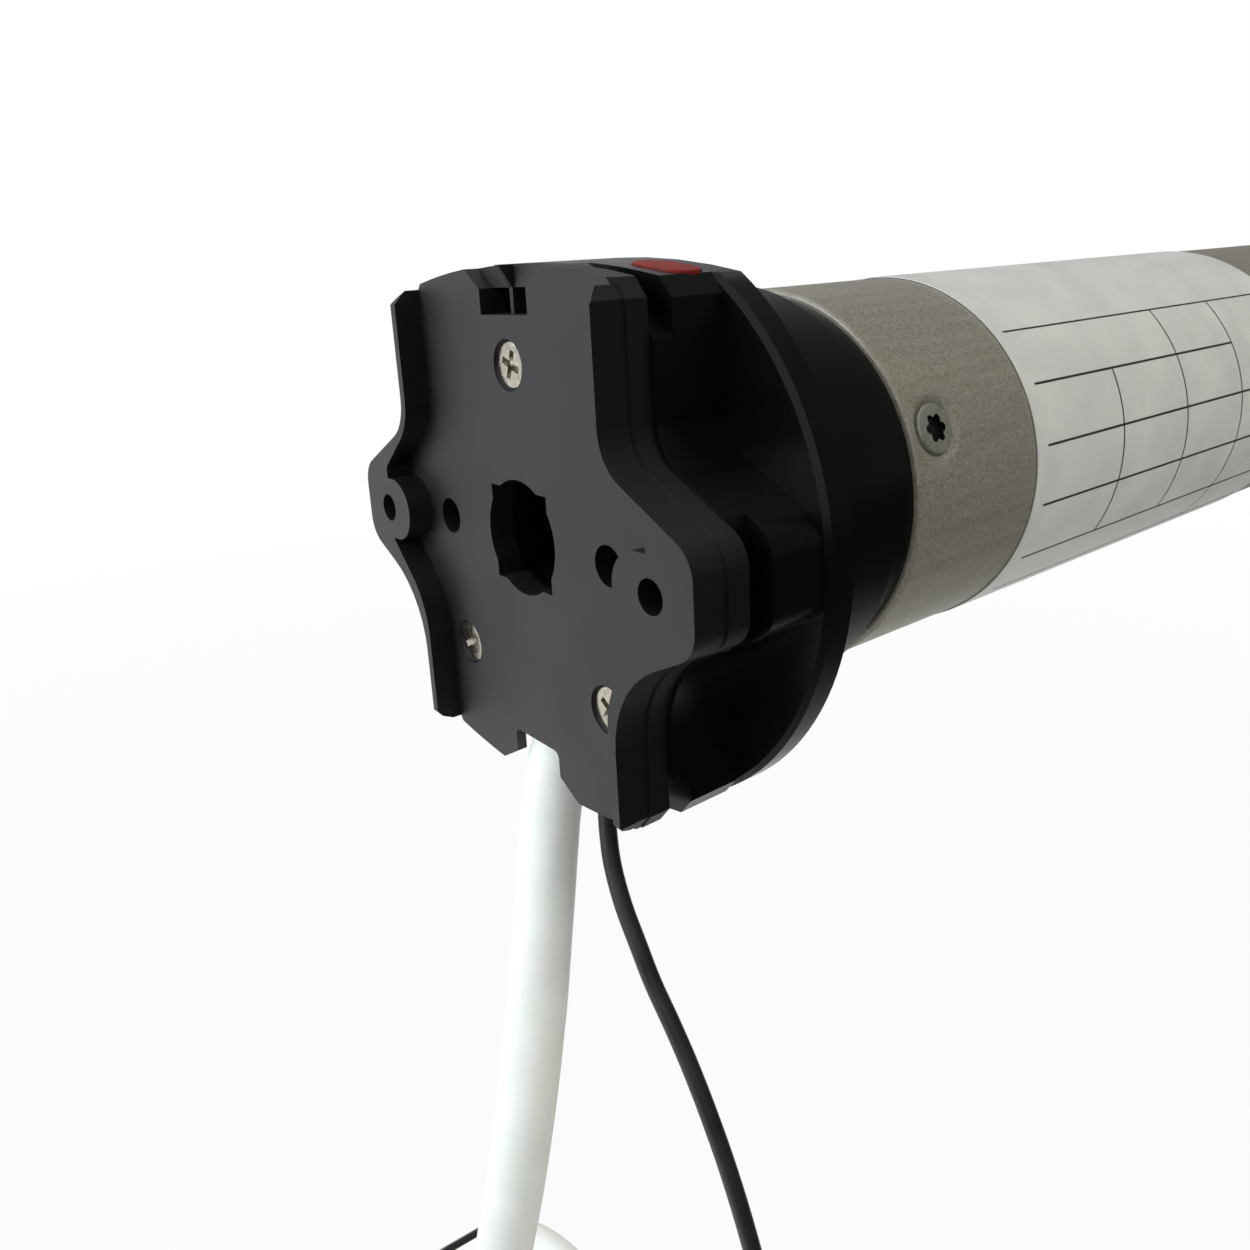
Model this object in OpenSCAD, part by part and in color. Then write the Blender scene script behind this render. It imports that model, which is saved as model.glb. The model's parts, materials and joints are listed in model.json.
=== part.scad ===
// Tubular motor for a roller blind, 45 mm class, with its bracket head at the low X end.
// X runs along the tube, from the head's front to the drive shaft; Z is up.
// The origin is on the axis, level with the front rims of the head.

/* [Head plate] */
// Depth of the recessed plate behind the front rims
plate_depth = 3; // [2:0.1:4]
// Thickness of the recessed plate
plate_t = 2.85; // [2.4:0.05:3.4]
// Half of the width across the straight flanks
flank_half = 18; // [17.6:0.1:18.6]
// Reach of the side lobes from the axis
lobe_reach = 29.3; // [28.6:0.1:30]
// Height of a lobe's tip above the axis
lobe_z = 4.3; // [3.8:0.1:4.6]
// Depth of a lobe's tip below the axis
lobe_low = 3.9; // [3.5:0.1:4.3]
// Height at which a flank turns out into a lobe
flank_z = 10.2; // [9.8:0.1:11]
// Depth at which a flank turns out into a lobe
flank_low = 9.6; // [9.2:0.1:10.4]
// Height of the head above the axis
head_top = 26.9; // [26.4:0.1:27.4]
// Depth of the head below the axis
head_bottom = 27.4; // [27:0.1:28]
// Radius of the shallow arcs at the top and bottom of the head
crown_r = 90; // [70:1:120]
// Thickness of the side rims
rim_w = 1; // [0.9:0.1:1.4]
// Radius of the raised bosses in the lobes
boss_r = 3.6; // [3.5:0.1:3.8]
// Extra width of the head's body beyond the plate
body_grow = 0.8; // [0.5:0.1:1.1]

/* [Bracket interface] */
// Distance between the outer pair of bracket holes
outer_holes = 48; // [47:0.5:49]
// Radius of the outer bracket holes
outer_hole_r = 1.6; // [1.3:0.05:1.8]
// Distance between the inner pair of bracket holes
inner_holes = 29; // [28:0.5:30]
// Radius of the inner bracket holes
inner_hole_r = 2; // [1.6:0.05:2.2]
// Side of the square stud socket
socket_square = 10; // [9:0.1:10.4]
// Diameter of the round stud socket
socket_round = 12; // [11.4:0.1:12.6]
// Depth of the stud socket behind the plate's face
socket_depth = 12.4; // [11:0.1:13]
// Inner radius of the groove for a retaining ring
groove_r = 27.6; // [27:0.1:28]
// Width of that groove
groove_w = 2.2; // [1.8:0.1:2.6]

/* [Flange and collar] */
// Length of the scalloped part of the head's body
block_l = 8.25; // [8:0.05:9]
// Thickness of the flange
flange_t = 3.1; // [2.7:0.1:3.5]
// Radius of the flange
flange_r = 30.8; // [30.4:0.1:32]
// Front chamfer of the flange
flange_chamfer = 0.5; // [0.3:0.1:0.8]
// Height of the collar, which a crown ring turns on, above the tube
collar_rise = 0.8; // [0.5:0.1:1.5]
// Length of the collar
collar_l = 15.8; // [14:0.1:18]
// Depth of the neck between the collar and the tube, below the tube
neck_drop = 0.7; // [0.3:0.1:0.9]
// Length of the neck
neck_l = 4.7; // [4:0.1:6]
// Length of the spigot inside the tube
spigot_l = 18; // [15:0.5:22]
// Wall of the hollow part of the head
head_wall = 2.2; // [2:0.1:2.6]

/* [Tube] */
// Outer radius of the tube
tube_r = 22.5; // [22.4:0.05:22.8]
// Wall of the tube
tube_wall = 1; // [0.8:0.05:1.1]
// Distance from a tube end to the centres of its screws
tube_screw_inset = 4.6; // [4.4:0.1:6]
// Angle of the first tube screw above the -Y side
tube_screw_angle = 20; // [10:1:30]
// Angle from the front tube screws to the ones at the far end
end_screw_turn = 25; // [20:1:40]
// Radius of a tube screw's head
tube_screw_r = 2.8; // [2.6:0.05:3]
// Distance from the tube's front end to the label
label_inset = 22.1; // [20:0.1:26]
// Length of the label along the tube
label_l = 76; // [60:1:90]
// Angle that the label wraps round the tube
label_wrap = 210; // [180:1:240]
// Thickness of the label film
label_t = 0.15; // [0.1:0.05:0.25]

/* [Programming button] */
// Length of the button's oval head, across the tube
button_l = 7.2; // [6.6:0.1:7.6]
// Width of the button's oval head, along the tube
button_w = 4; // [3.6:0.1:4.2]
// Distance of the button from the middle of the head
button_y = 13.7; // [13.3:0.1:13.9]
// Travel of the button
button_travel = 0.5; // [0.3:0.05:0.7]
// Clearance round the button
button_gap = 0.15; // [0.1:0.05:0.2]

/* [Leads] */
// Diameter of the mains lead
lead_d = 6.8; // [6.4:0.1:7]
// Diameter of the aerial wire
aerial_d = 2; // [1.8:0.1:2.2]
// Outer radius of the put-away coil at its centre line
coil_out_r = 43.5; // [43:0.1:46]
// Radial step of the coil for each turn
coil_pitch = 8.3; // [8.3:0.1:8.6]
// Step between the coil's layers
coil_step = 7.6; // [7.5:0.1:8]
// Turns of the coil in each layer
coil_turns = 5 / 3;

/* [Gear train] */
// Wall of the ring gear between its tooth spaces and the tube
ring_wall = 2.6; // [2.4:0.05:3]
// Teeth of the ring gear
ring_teeth = 48;
// Teeth of each planet
planet_teeth = 18;
// Teeth of each sun
sun_teeth = 12;
// Pressure angle
pressure_angle = 20; // [20:1:22]
// Backlash at the pitch circle
backlash = 0.16; // [0.14:0.01:0.2]
// Face widths of the three stages
face_1 = 9; // [8:0.5:10]
face_2 = 12; // [11:0.5:13]
face_3 = 18; // [17:0.5:19]
// Radius of the planet pins
pin_r = 1.5; // [1.4:0.05:1.6]
// Thickness of the carrier plates
carrier_t = 4; // [3.5:0.1:5]

/* [Drive shaft] */
// Radius of the drive shaft
shaft_r = 7; // [6.5:0.1:7.4]
// Distance across the flats of the shaft's end
shaft_flats = 11; // [10.5:0.1:11.6]
// Length of the shaft outside the end cap
shaft_out = 25; // [22:0.5:30]
// Radius of the threaded hole in the shaft's end
shaft_bore_r = 2.5; // [2.2:0.1:2.8]
// Depth of that hole
shaft_bore_l = 14; // [12:0.5:16]

/* [Motor] */
// Radius of the rotor shaft
rotor_shaft_r = 2.5; // [2.4:0.05:2.6]
// Thickness of the laminated stator from the tube to the rotor
stator_wall = 9.1; // [8.8:0.1:9.4]
// Length of the laminated stator
stator_l = 60; // [55:1:65]
// Air gap between rotor and stator
air_gap = 0.3; // [0.25:0.05:0.4]
// Axial travel of the brake plate
brake_travel = 0.4; // [0.3:0.05:0.5]
// Diameter of the run capacitor
capacitor_d = 32; // [30:0.5:33]
// Length of the run capacitor
capacitor_l = 38; // [34:0.5:40]
// Length of the control board
board_l = 88; // [82:1:92]
// Thickness of the circuit boards
board_t = 1.6; // [1.4:0.1:1.8]
// Free length of the board tray behind the capacitor
cradle_tail = 15.3; // [12:0.1:40]

/* [Hidden] */
$fn = 96;
eps = 0.01;
run_gap = 0.04;
seat_gap = 0.05;
film_gap = 0.05;
press_gap = 0.02;
arc_steps = 7;

// Places along the axis, from the head to the drive shaft
cover_back = plate_depth + plate_t;
flange_front = cover_back + block_l;
flange_back = flange_front + flange_t;
neck_front = flange_back + collar_l;
tube_front = neck_front + neck_l;
spigot_end = tube_front + spigot_l;
cavity_front = flange_back + 0.8;
collar_r = tube_r + collar_rise;
neck_r = tube_r - neck_drop;
tube_in_r = tube_r - tube_wall;
spigot_r = tube_in_r - seat_gap;
insert_r = tube_in_r - 0.1;
cavity_r = spigot_r - head_wall;

// The electronics, the motor, the brake and the gearbox follow each other in the tube
cradle_front = spigot_end + 0.5;
cradle_wall = 1.5;
cradle_r = tube_in_r - 0.3;
board_front = cradle_front + 3;
board_z = -4;
board_half = sqrt(pow(cradle_r - cradle_wall, 2) - board_z * board_z) - 1.2;
capacitor_front = board_front + board_l + 4;
cradle_end = capacitor_front + capacitor_l + cradle_tail;
encoder_gap = 5;
encoder_x = cradle_end + 2;
shield_t = 8;
front_shield_front = encoder_x + board_t + encoder_gap;
front_shield_rear = front_shield_front + shield_t;
bearing_l = 5;
bearing_r = 8;
winding_l = 11;
winding_gap = 3;
stator_front = front_shield_rear + winding_gap + winding_l;
stator_rear = stator_front + stator_l;
rear_shield_front = stator_rear + winding_l + winding_gap;
brake_l = 30;
brake_wall_t = 3;
brake_front = rear_shield_front + shield_t;
brake_rear = brake_front + brake_l;
plate_gap = 0.4;
ring_front = brake_rear;
stage_1_front = ring_front + 1.5;
stage_1_rear = stage_1_front + face_1;
stage_2_front = stage_1_rear + plate_gap + carrier_t + plate_gap;
stage_2_rear = stage_2_front + face_2;
stage_3_front = stage_2_rear + plate_gap + carrier_t + plate_gap;
stage_3_rear = stage_3_front + face_3;
cap_front = stage_3_rear + plate_gap + carrier_t + plate_gap;
cap_plug_l = 40;
cap_flange_t = 3;
tube_end = cap_front + cap_plug_l;
tube_l = tube_end - tube_front;

// Gear sizes
root_factor = 1.2;
gear_module = (tube_in_r - ring_wall) / (ring_teeth / 2 + root_factor);
ring_pitch_r = gear_module * ring_teeth / 2;
planet_pitch_r = gear_module * planet_teeth / 2;
sun_pitch_r = gear_module * sun_teeth / 2;
planet_centre = sun_pitch_r + planet_pitch_r;
addendum = 0.88 * gear_module;
dedendum = root_factor * gear_module;
planets = 3;
carrier_r = ring_pitch_r - addendum - 0.8;
hub_r = sun_pitch_r - dedendum - 0.1;

// The head's outline, from half-width and half-height values
function unit(v) = v / norm(v);
function corner_arc(a, b, c, r) =
  let (
    u = unit(a - b),
    w = unit(c - b),
    half = acos(u * w) / 2,
    centre = b + unit(u + w) * r / sin(half),
    p = b + u * r / tan(half) - centre,
    q = b + w * r / tan(half) - centre,
    from = atan2(p.y, p.x),
    sweep = (atan2(q.y, q.x) - from + 540) % 360 - 180
  )
  [for (i = [0:arc_steps]) centre + r * [cos(from + sweep * i / arc_steps), sin(from + sweep * i / arc_steps)]];
function rounded(points, radii) =
  let (n = len(points))
  [for (i = [0:n - 1])
    each radii[i] > 0 ? corner_arc(points[(i + n - 1) % n], points[i], points[(i + 1) % n], radii[i]) : [points[i]]];
function mirrored(points) = [for (i = [len(points) - 1:-1:0]) [-points[i].x, points[i].y]];
function crown(height, y) = height - crown_r + sqrt(crown_r * crown_r - y * y);
function crown_arc(height, half, sign) =
  [for (i = [1:2 * arc_steps - 1]) let (y = half * (1 - i / arc_steps)) [sign * y, sign * crown(height, y)]];

shoulder = 1.5;
flank_bend_r = 5;
flank_bend_low = 11;
lobe_bend_r = 3.4;
function head_side(grow) =
  let (f = flank_half + grow, lobe = lobe_reach + grow)
  rounded(
    [
      [f - shoulder, -crown(head_bottom, f - shoulder)],
      [f, shoulder - crown(head_bottom, f)],
      [f, -flank_low], [lobe, -lobe_low], [lobe, lobe_z], [f, flank_z],
      [f, crown(head_top, f) - shoulder],
      [f - shoulder, crown(head_top, f - shoulder)]
    ],
    [0, 0, flank_bend_low, lobe_bend_r, lobe_bend_r, flank_bend_r, 0, 0]
  );
function head_outline(grow) =
  let (side = head_side(grow), half = flank_half + grow - shoulder)
  concat(side, crown_arc(head_top, half, 1), mirrored(side), crown_arc(head_bottom, half, -1));

// The recess between the rims, and how far in from its hole a boss is rounded
boss_in = 1.5;
inner_f = flank_half - rim_w;
recess_lobe = lobe_reach - 5.7;
recess_high = 4.9;
recess_low = 3.8;
recess_rise = 0.83;
recess_drop = 1;
function recess_side(reach) =
  let (wide = recess_lobe - inner_f)
  rounded(
    [
      [inner_f, -reach], [inner_f, -recess_low - recess_drop * wide], [recess_lobe, -recess_low],
      [recess_lobe, recess_high], [inner_f, recess_high + recess_rise * wide], [inner_f, reach]
    ],
    [0, flank_bend_low - rim_w, 0.8, 0.8, flank_bend_r + rim_w, 0]
  );
// The rims' ends lean back from the front face
rim_end_y = flank_half - 1;
rim_top_lean = 1.9;
rim_bottom_lean = 1.9;

// Cable slot in the underside of the head
slot_y = 0.15;
slot_w = lead_d + 1.4;
slot_top = 22.5;
slot_wall = 1.2;
slot_flare = 3.4;
slot_flare_h = 2;
underside_z = 23;
underside_half = 12;
gland_z = 18.5;
gland_h = 4;
gland_half = lead_d / 2 + 0.8;
gland_front = plate_depth + slot_wall + seat_gap;
gland_x = gland_front + lead_d / 2 + 0.75;
gland_back = gland_x + lead_d / 2 + 0.5;
underside_back = gland_back + 1.4;
lead_y = 0.9;
tunnel_z = 14;
tunnel_h = 5;
aerial_x = 8;
aerial_y = -5.2;

// Notch in the top of the plate
notch_w = 8.4;
notch_z = 22.2;
notch_h = 2.5;
notch_rib = 0.6;
notch_rib_sink = 1.5;
notch_rib_y = 0.65;
notch_flare = 4.3;
notch_flare_t = 1.7;

// Screws of the plate
cover_screw_head_r = 2.45;
cover_screw_sink = 0.3;
cover_screw_r = 1.5;
cover_screw_l = 10;
cover_screws_at = [[0, 17.4], [13, -14.75], [-13, -14.75]];

// The oval button in the top of the head
button_x = flange_front - button_w / 2 - 0.1;
button_rise = 0.25;
button_board_x = cover_back + groove_w + 0.9;
button_board_end = flange_back - 1;
button_wall_z = 23.2;
button_stem = 2.6;
button_shelf_z = 16;
button_collar = 0.5;

// Route of the mains lead, from the gland to the start of its coil
coil_start = 60;
coil_dir = [0, sin(coil_start), -cos(coil_start)];
lead_free = [
  [8.1, 1.05, -21.2], [7.5, 1.5, -24], [6.75, 1.85, -26.7], [6.05, 1.85, -29], [5.3, 1.6, -31.2], [4.6, 1.3, -33.3],
  [3.9, 0.85, -35.5], [3.25, 0.45, -37.6], [2.55, 0, -40], [1.75, -0.45, -42.7], [0.9, -0.95, -45.5],
  [0, -1.5, -48.5], [-1, -2.1, -51.7], [-2.1, -2.6, -55.2], [-3.6, -3.1, -60.5], [-5, -3.1, -66.5], [-6.1, -2.3, -73.5],
  [-6.7, -0.4, -81.5], [-6.6, 2.7, -90.5], [-5.9, 6.5, -99.5], [-4.8, 10.8, -108.5], [-3.6, 15.4, -117],
  [-2.6, 20.6, -125], [-2.1, 26.1, -131.5], [-2, 31.6, -136.4]
];
lead_route = concat(
  [[gland_x, lead_y, -gland_z + gland_h], [gland_x, lead_y, -gland_z]],
  lead_free,
  [lead_free[len(lead_free) - 1] + lead_d * coil_dir]
);
// Route of the aerial wire, which hangs free to its bare end
aerial_route = [
  [8, -5.2, -22], [8, -5.2, -25], [7.9, -5.2, -28.5], [7.7, -5.35, -32.5], [7.4, -6.2, -36.5], [7.2, -8, -40.5],
  [7.3, -10.2, -44.5], [7.6, -12, -48.3], [8, -14.2, -52], [8.4, -16.4, -56], [8.8, -18.8, -61], [9.2, -21.3, -67],
  [9.5, -23.8, -74], [9.7, -26.2, -82], [9.9, -28.4, -91], [10, -30.2, -101], [10, -31.5, -112], [10, -32.4, -124],
  [10, -32.9, -136], [10, -33.1, -148], [10, -33.2, -160], [10, -33.2, -172], [10, -33.2, -183]
];

// The coil: four layers that spiral in, out, in and out, with a climb at each turn-round
coil_layers = 4;
coil_steps = 24;
coil_in_r = coil_out_r - coil_pitch * coil_turns;
coil_climb = 0.5;
coil_total = coil_layers * coil_turns + (coil_layers - 1) * coil_climb;
lead_end = lead_route[len(lead_route) - 1];
coil_first = lead_end + lead_d * coil_dir;
coil_centre = [coil_first.x, coil_first.y - coil_out_r * cos(coil_start), coil_first.z - coil_out_r * sin(coil_start)];
function coil_layer(t) = min(coil_layers - 1, floor(t / (coil_turns + coil_climb)));
function coil_r(t) =
  let (k = coil_layer(t), s = min(coil_turns, t - k * (coil_turns + coil_climb)))
  k % 2 == 0 ? coil_out_r - coil_pitch * s : coil_in_r + coil_pitch * s;
function coil_x(t) =
  let (k = coil_layer(t), s = max(0, t - k * (coil_turns + coil_climb) - coil_turns))
  coil_step * (k + s / coil_climb);
function coil_point(t) =
  let (a = coil_start - 360 * t, r = coil_r(t))
  coil_centre + [coil_x(t), r * cos(a), r * sin(a)];
coil_last = coil_point(coil_total);
coil_end_angle = coil_start - 360 * coil_total;
coil_end_dir = [0, sin(coil_end_angle), -cos(coil_end_angle)];
coil_end = coil_last + lead_d * coil_end_dir;
coil_n = ceil(coil_total * coil_steps);
coil_path = concat(
  [lead_end],
  [for (i = [0:coil_n]) coil_point(coil_total * i / coil_n)],
  [coil_end]
);
// Least gap between parts of the coil more than half a turn apart, measured on points of the centre line
coil_gap = min([for (i = [0:coil_n], j = [i + 12:1:coil_n])
  norm(coil_point(coil_total * i / coil_n) - coil_point(coil_total * j / coil_n))]) - lead_d;
function path_length(points) =
  let (steps = [for (i = [1:len(points) - 1]) norm(points[i] - points[i - 1])]) steps * [for (s = steps) 1];
echo(coil_gap = coil_gap);
echo(lead_length = path_length(lead_route) + path_length(coil_path));
echo(aerial_length = path_length(aerial_route));

// Frames along a path, each turned as little as possible from the one before
function tangent(points, i) = unit(points[min(i + 1, len(points) - 1)] - points[max(i - 1, 0)]);
function frames(points, i, side) =
  let (t = tangent(points, i), s = unit(side - (side * t) * t))
  i == len(points) - 1 ? [[s, cross(t, s)]] : concat([[s, cross(t, s)]], frames(points, i + 1, s));
// A round tube along a path, as one closed solid with flat ends
module swept(points, r, sides, side) {
  rings = frames(points, 0, side);
  n = len(points);
  verts = [for (i = [0:n - 1], k = [0:sides - 1])
    let (a = 360 * k / sides) points[i] + r * (cos(a) * rings[i][0] + sin(a) * rings[i][1])];
  walls = [for (i = [0:n - 2], k = [0:sides - 1])
    let (a = i * sides + k, b = i * sides + (k + 1) % sides)
    each [[a, a + sides, b + sides], [a, b + sides, b]]];
  caps = [[for (k = [0:sides - 1]) k], [for (k = [sides - 1:-1:0]) (n - 1) * sides + k]];
  polyhedron(points = verts, faces = concat(walls, caps));
}

// Gear tooth outlines: thickness follows the involute, with three points on each flank
function involute(a) = tan(a) * 180 / PI - a;
function tooth_half(teeth, thick, r) =
  let (pitch = gear_module * teeth / 2, base = pitch * cos(pressure_angle), a = acos(min(1, base / r)))
  thick / pitch * 90 / PI + involute(pressure_angle) - involute(a);
function gear_outline(teeth, thick, low, high) =
  let (radii = [low, (2 * low + high) / 3, (low + 2 * high) / 3, high])
  [for (i = [0:teeth - 1])
    let (c = 360 * i / teeth)
    each concat(
      [for (r = radii) let (a = c - tooth_half(teeth, thick, r)) r * [cos(a), sin(a)]],
      [for (k = [3:-1:0]) let (r = radii[k], a = c + tooth_half(teeth, thick, r)) r * [cos(a), sin(a)]]
    )];
pitch_thick = PI * gear_module / 2;
module external_gear(teeth) {
  pitch = gear_module * teeth / 2;
  polygon(gear_outline(teeth, pitch_thick - backlash, pitch - dedendum, pitch + addendum));
}
module ring_space() {
  rotate(180 * (planet_teeth + 1) / ring_teeth)
    polygon(gear_outline(ring_teeth, pitch_thick + backlash, ring_pitch_r - addendum, ring_pitch_r + dedendum));
}
function planet_phase(at) = at + 180 + 180 / planet_teeth + at * sun_teeth / planet_teeth;

// Things along X: prisms from outlines in the YZ plane, and rods
module along(x, l) {
  translate([x, 0, 0]) rotate([90, 0, 90]) linear_extrude(l) children();
}
module rod(x, l, r, y = 0, z = 0, r2 = -1) {
  translate([x, y, z]) rotate([0, 90, 0]) cylinder(h = l, r1 = r, r2 = r2 < 0 ? r : r2);
}
module ring(x, l, outer, inner) {
  difference() {
    rod(x, l, outer);
    rod(x - 1, l + 2, inner);
  }
}
module block(low, high) {
  translate(low) cube(high - low);
}

module socket_cut() {
  reach = plate_depth + socket_depth;
  rod(plate_depth - eps, reach - plate_depth + eps, socket_round / 2);
  block([plate_depth - eps, -socket_square / 2, -socket_square / 2], [reach, socket_square / 2, socket_square / 2]);
}
module bracket_holes(to) {
  for (s = [-1, 1]) {
    rod(-1, to + 1, outer_hole_r, s * outer_holes / 2);
    rod(-1, to + 1, inner_hole_r, s * inner_holes / 2);
  }
}
module cable_slot(x, l, top) {
  side = slot_w / 2;
  flare_z = head_bottom - slot_flare_h - 0.1;
  wide = side + 1.6 * slot_flare;
  low = flare_z + 1.6 * slot_flare_h;
  along(x, l)
    polygon(rounded(
      [
        [slot_y - side, -top], [slot_y + side, -top], [slot_y + side, -flare_z],
        [slot_y + wide, -low], [slot_y - wide, -low], [slot_y - side, -flare_z]
      ],
      [0.8, 0.8, 0.4, 0, 0, 0.4]
    ));
}
// The hollow under the head behind the slot, and the seat of the lead's gland
module underside_cut() {
  block([plate_depth + slot_wall, -underside_half, -head_bottom - 1], [underside_back, underside_half, -underside_z]);
  block([plate_depth + slot_wall, lead_y - gland_half - seat_gap, -underside_z - 1],
    [gland_back + seat_gap, lead_y + gland_half + seat_gap, -tunnel_z]);
}
module rim_ends_cut() {
  high = crown(head_top, rim_end_y);
  low = crown(head_bottom, rim_end_y);
  translate([0, lobe_reach + 1, 0]) rotate([90, 0, 0]) linear_extrude(2 * lobe_reach + 2) {
    polygon([
      [-1, high - rim_top_lean - 1], [0, high - rim_top_lean], [0.7, high - 0.6 * rim_top_lean],
      [1.4, high - 0.26 * rim_top_lean], [2.2, high - 0.05 * rim_top_lean], [plate_depth, high],
      [plate_depth, high + 5], [-1, high + 5]
    ]);
    polygon([
      [-1, -low + rim_bottom_lean + 1], [0, -low + rim_bottom_lean], [0.6, -low + 0.6 * rim_bottom_lean],
      [plate_depth, -low], [plate_depth, -low - 5], [-1, -low - 5]
    ]);
  }
}
module notch_cut(depth) {
  half = notch_w / 2;
  top = notch_z + notch_h;
  difference() {
    union() {
      block([plate_depth - 1, -half, notch_z], [plate_depth + depth, half, top + eps]);
      along(plate_depth - 1, 1 + notch_flare_t)
        polygon([[-half, top], [half, top], [half + notch_flare, head_top + 1], [-half - notch_flare, head_top + 1]]);
    }
    // A thin rib between its halves leans forward to the plate's face
    translate([0, notch_rib_y + notch_rib / 2, 0]) rotate([90, 0, 0]) linear_extrude(notch_rib)
      polygon([
        [plate_depth + notch_rib_sink, notch_z - 1], [plate_depth + notch_rib_sink, top], [plate_depth, head_top],
        [plate_depth, head_top + 2], [plate_depth + depth + 1, head_top + 2], [plate_depth + depth + 1, notch_z - 1]
      ]);
  }
}

module head_cover() {
  strip = plate_depth + 0.6;
  color("#232427")
    difference() {
      union() {
        along(0, strip) polygon(head_outline(0));
        along(strip - eps, cover_back - strip + eps) polygon(head_outline(0.25));
      }
      difference() {
        along(-1, plate_depth + 1) polygon(concat(recess_side(head_bottom + 2), mirrored(recess_side(head_bottom + 2))));
        for (s = [-1, 1]) {
          rod(-2, plate_depth + 3, boss_r, s * (outer_holes / 2 - boss_in));
          block([-2, s * outer_holes / 2 - boss_in, -boss_r], [plate_depth + 1, s * outer_holes / 2 + boss_in, boss_r]);
        }
      }
      rim_ends_cut();
      underside_cut();
      socket_cut();
      bracket_holes(cover_back + 1);
      cable_slot(plate_depth - 1, plate_t + 2, slot_top);
      notch_cut(cover_back);
      for (at = cover_screws_at) {
        rod(plate_depth - eps, cover_screw_sink + eps, cover_screw_head_r + 0.1, at.x, at.y);
        rod(plate_depth + cover_screw_sink - eps, 1.35, cover_screw_head_r + 0.1, at.x, at.y, cover_screw_r + 0.1);
        rod(plate_depth, plate_t + 1, cover_screw_r + 0.1, at.x, at.y);
      }
    }
}

module flange_outline() {
  wide = flange_r + 2;
  polygon(concat(
    [for (i = [-arc_steps:arc_steps]) let (y = -wide * i / arc_steps) [y, crown(head_top, y)]],
    [for (i = [-arc_steps:arc_steps]) let (y = wide * i / arc_steps) [y, -crown(head_bottom, y)]]
  ));
}
module head_body() {
  color("#1d1e20")
    difference() {
      union() {
        along(cover_back, block_l + eps) polygon(head_outline(body_grow));
        intersection() {
          along(flange_front, flange_t) flange_outline();
          union() {
            rod(flange_front, flange_chamfer, flange_r - flange_chamfer, r2 = flange_r);
            rod(flange_front + flange_chamfer, flange_t, flange_r);
          }
        }
        rod(flange_back - 1, collar_l + 1, collar_r);
        rod(neck_front - 1, neck_l + 1, neck_r);
        rod(tube_front - 1, spigot_l + 1, spigot_r);
      }
      ring(cover_back - eps, groove_w + eps, lobe_reach + 20, groove_r);
      rod(cavity_front, spigot_end, cavity_r);
      socket_cut();
      bracket_holes(flange_front - 1);
      notch_cut(cover_back);
      for (at = cover_screws_at) rod(cover_back - 1, cover_screw_l - 1, cover_screw_r - 0.2, at.x, at.y);
      // Channel, gland seat and tunnel of the mains lead, and the aerial's way out
      underside_cut();
      block([cover_back - 1, aerial_y - aerial_d, -tunnel_z - eps],
        [cavity_front + 1, lead_y + gland_half, -tunnel_z + tunnel_h]);
      translate([aerial_x, aerial_y, -head_bottom - 1]) cylinder(h = head_bottom - tunnel_z + 2, r = aerial_d / 2 + 0.15, $fn = 24);
      // Pocket of the button and its board
      block([button_board_x, -button_y - button_l / 2 - 0.7, button_shelf_z],
        [button_board_end + 0.2, -button_y + button_l / 2 + 0.7, button_wall_z]);
      block([flange_front - 2, -button_y + 1, button_shelf_z - 3], [cavity_front + 1, -button_y + 5, button_shelf_z + 1]);
      oval(button_l + 2 * button_gap, button_w + 2 * button_gap, button_wall_z - 1, head_top + 1);
      tube_screw_holes(front_screws, 0.3);
    }
}

module cover_screws() {
  top = plate_depth + cover_screw_sink + 0.05;
  color("#c9c6bd")
    for (at = cover_screws_at)
      difference() {
        union() {
          rod(top, 1.3, cover_screw_head_r, at.x, at.y, cover_screw_r);
          rod(top + 1.15, cover_screw_l - 2.2, cover_screw_r - 0.25, at.x, at.y);
        }
        translate([top, at.x, at.y]) rotate([35, 0, 0]) {
          block([-1, -1.5, -0.25], [1.1, 1.5, 0.25]);
          block([-1, -0.25, -1.5], [1.1, 0.25, 1.5]);
        }
      }
}

// An oval prism along Z at the button's place, longer across the tube
module oval(l, w, low, high) {
  translate([button_x, -button_y, low]) {
    for (s = [-1, 1]) translate([0, s * (l - w) / 2, 0]) cylinder(h = high - low, r = w / 2);
    translate([-w / 2, -(l - w) / 2, 0]) cube([w, l - w, high - low]);
  }
}
button_low = button_wall_z - button_travel - button_collar - 0.1;
switch_z = button_shelf_z + board_t;
module program_button() {
  color("#e0321c") {
    intersection() {
      oval(button_l, button_w, button_low + button_collar - eps, head_top + 1);
      along(button_x - button_w, 2 * button_w) translate([0, head_top - crown_r + button_rise]) circle(r = crown_r, $fn = 720);
    }
    oval(button_l + 0.9, button_w + 0.7, button_low, button_low + button_collar);
    translate([button_x, -button_y, switch_z + button_stem]) cylinder(h = button_low - switch_z - button_stem + eps, r = 1.1);
  }
}
module button_board() {
  half = button_l / 2 + 0.5;
  color("#2c6e49")
    block([button_board_x + 0.2, -button_y - half, button_shelf_z], [button_board_end, -button_y + half, switch_z]);
  color("#303030")
    translate([button_x, -button_y, switch_z - eps]) {
      translate([-2.2, -2.2, 0]) cube([4.4, 4.4, button_stem - button_travel - 0.6]);
      cylinder(h = button_stem - button_travel - 0.05, r = 1.3);
    }
}

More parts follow.
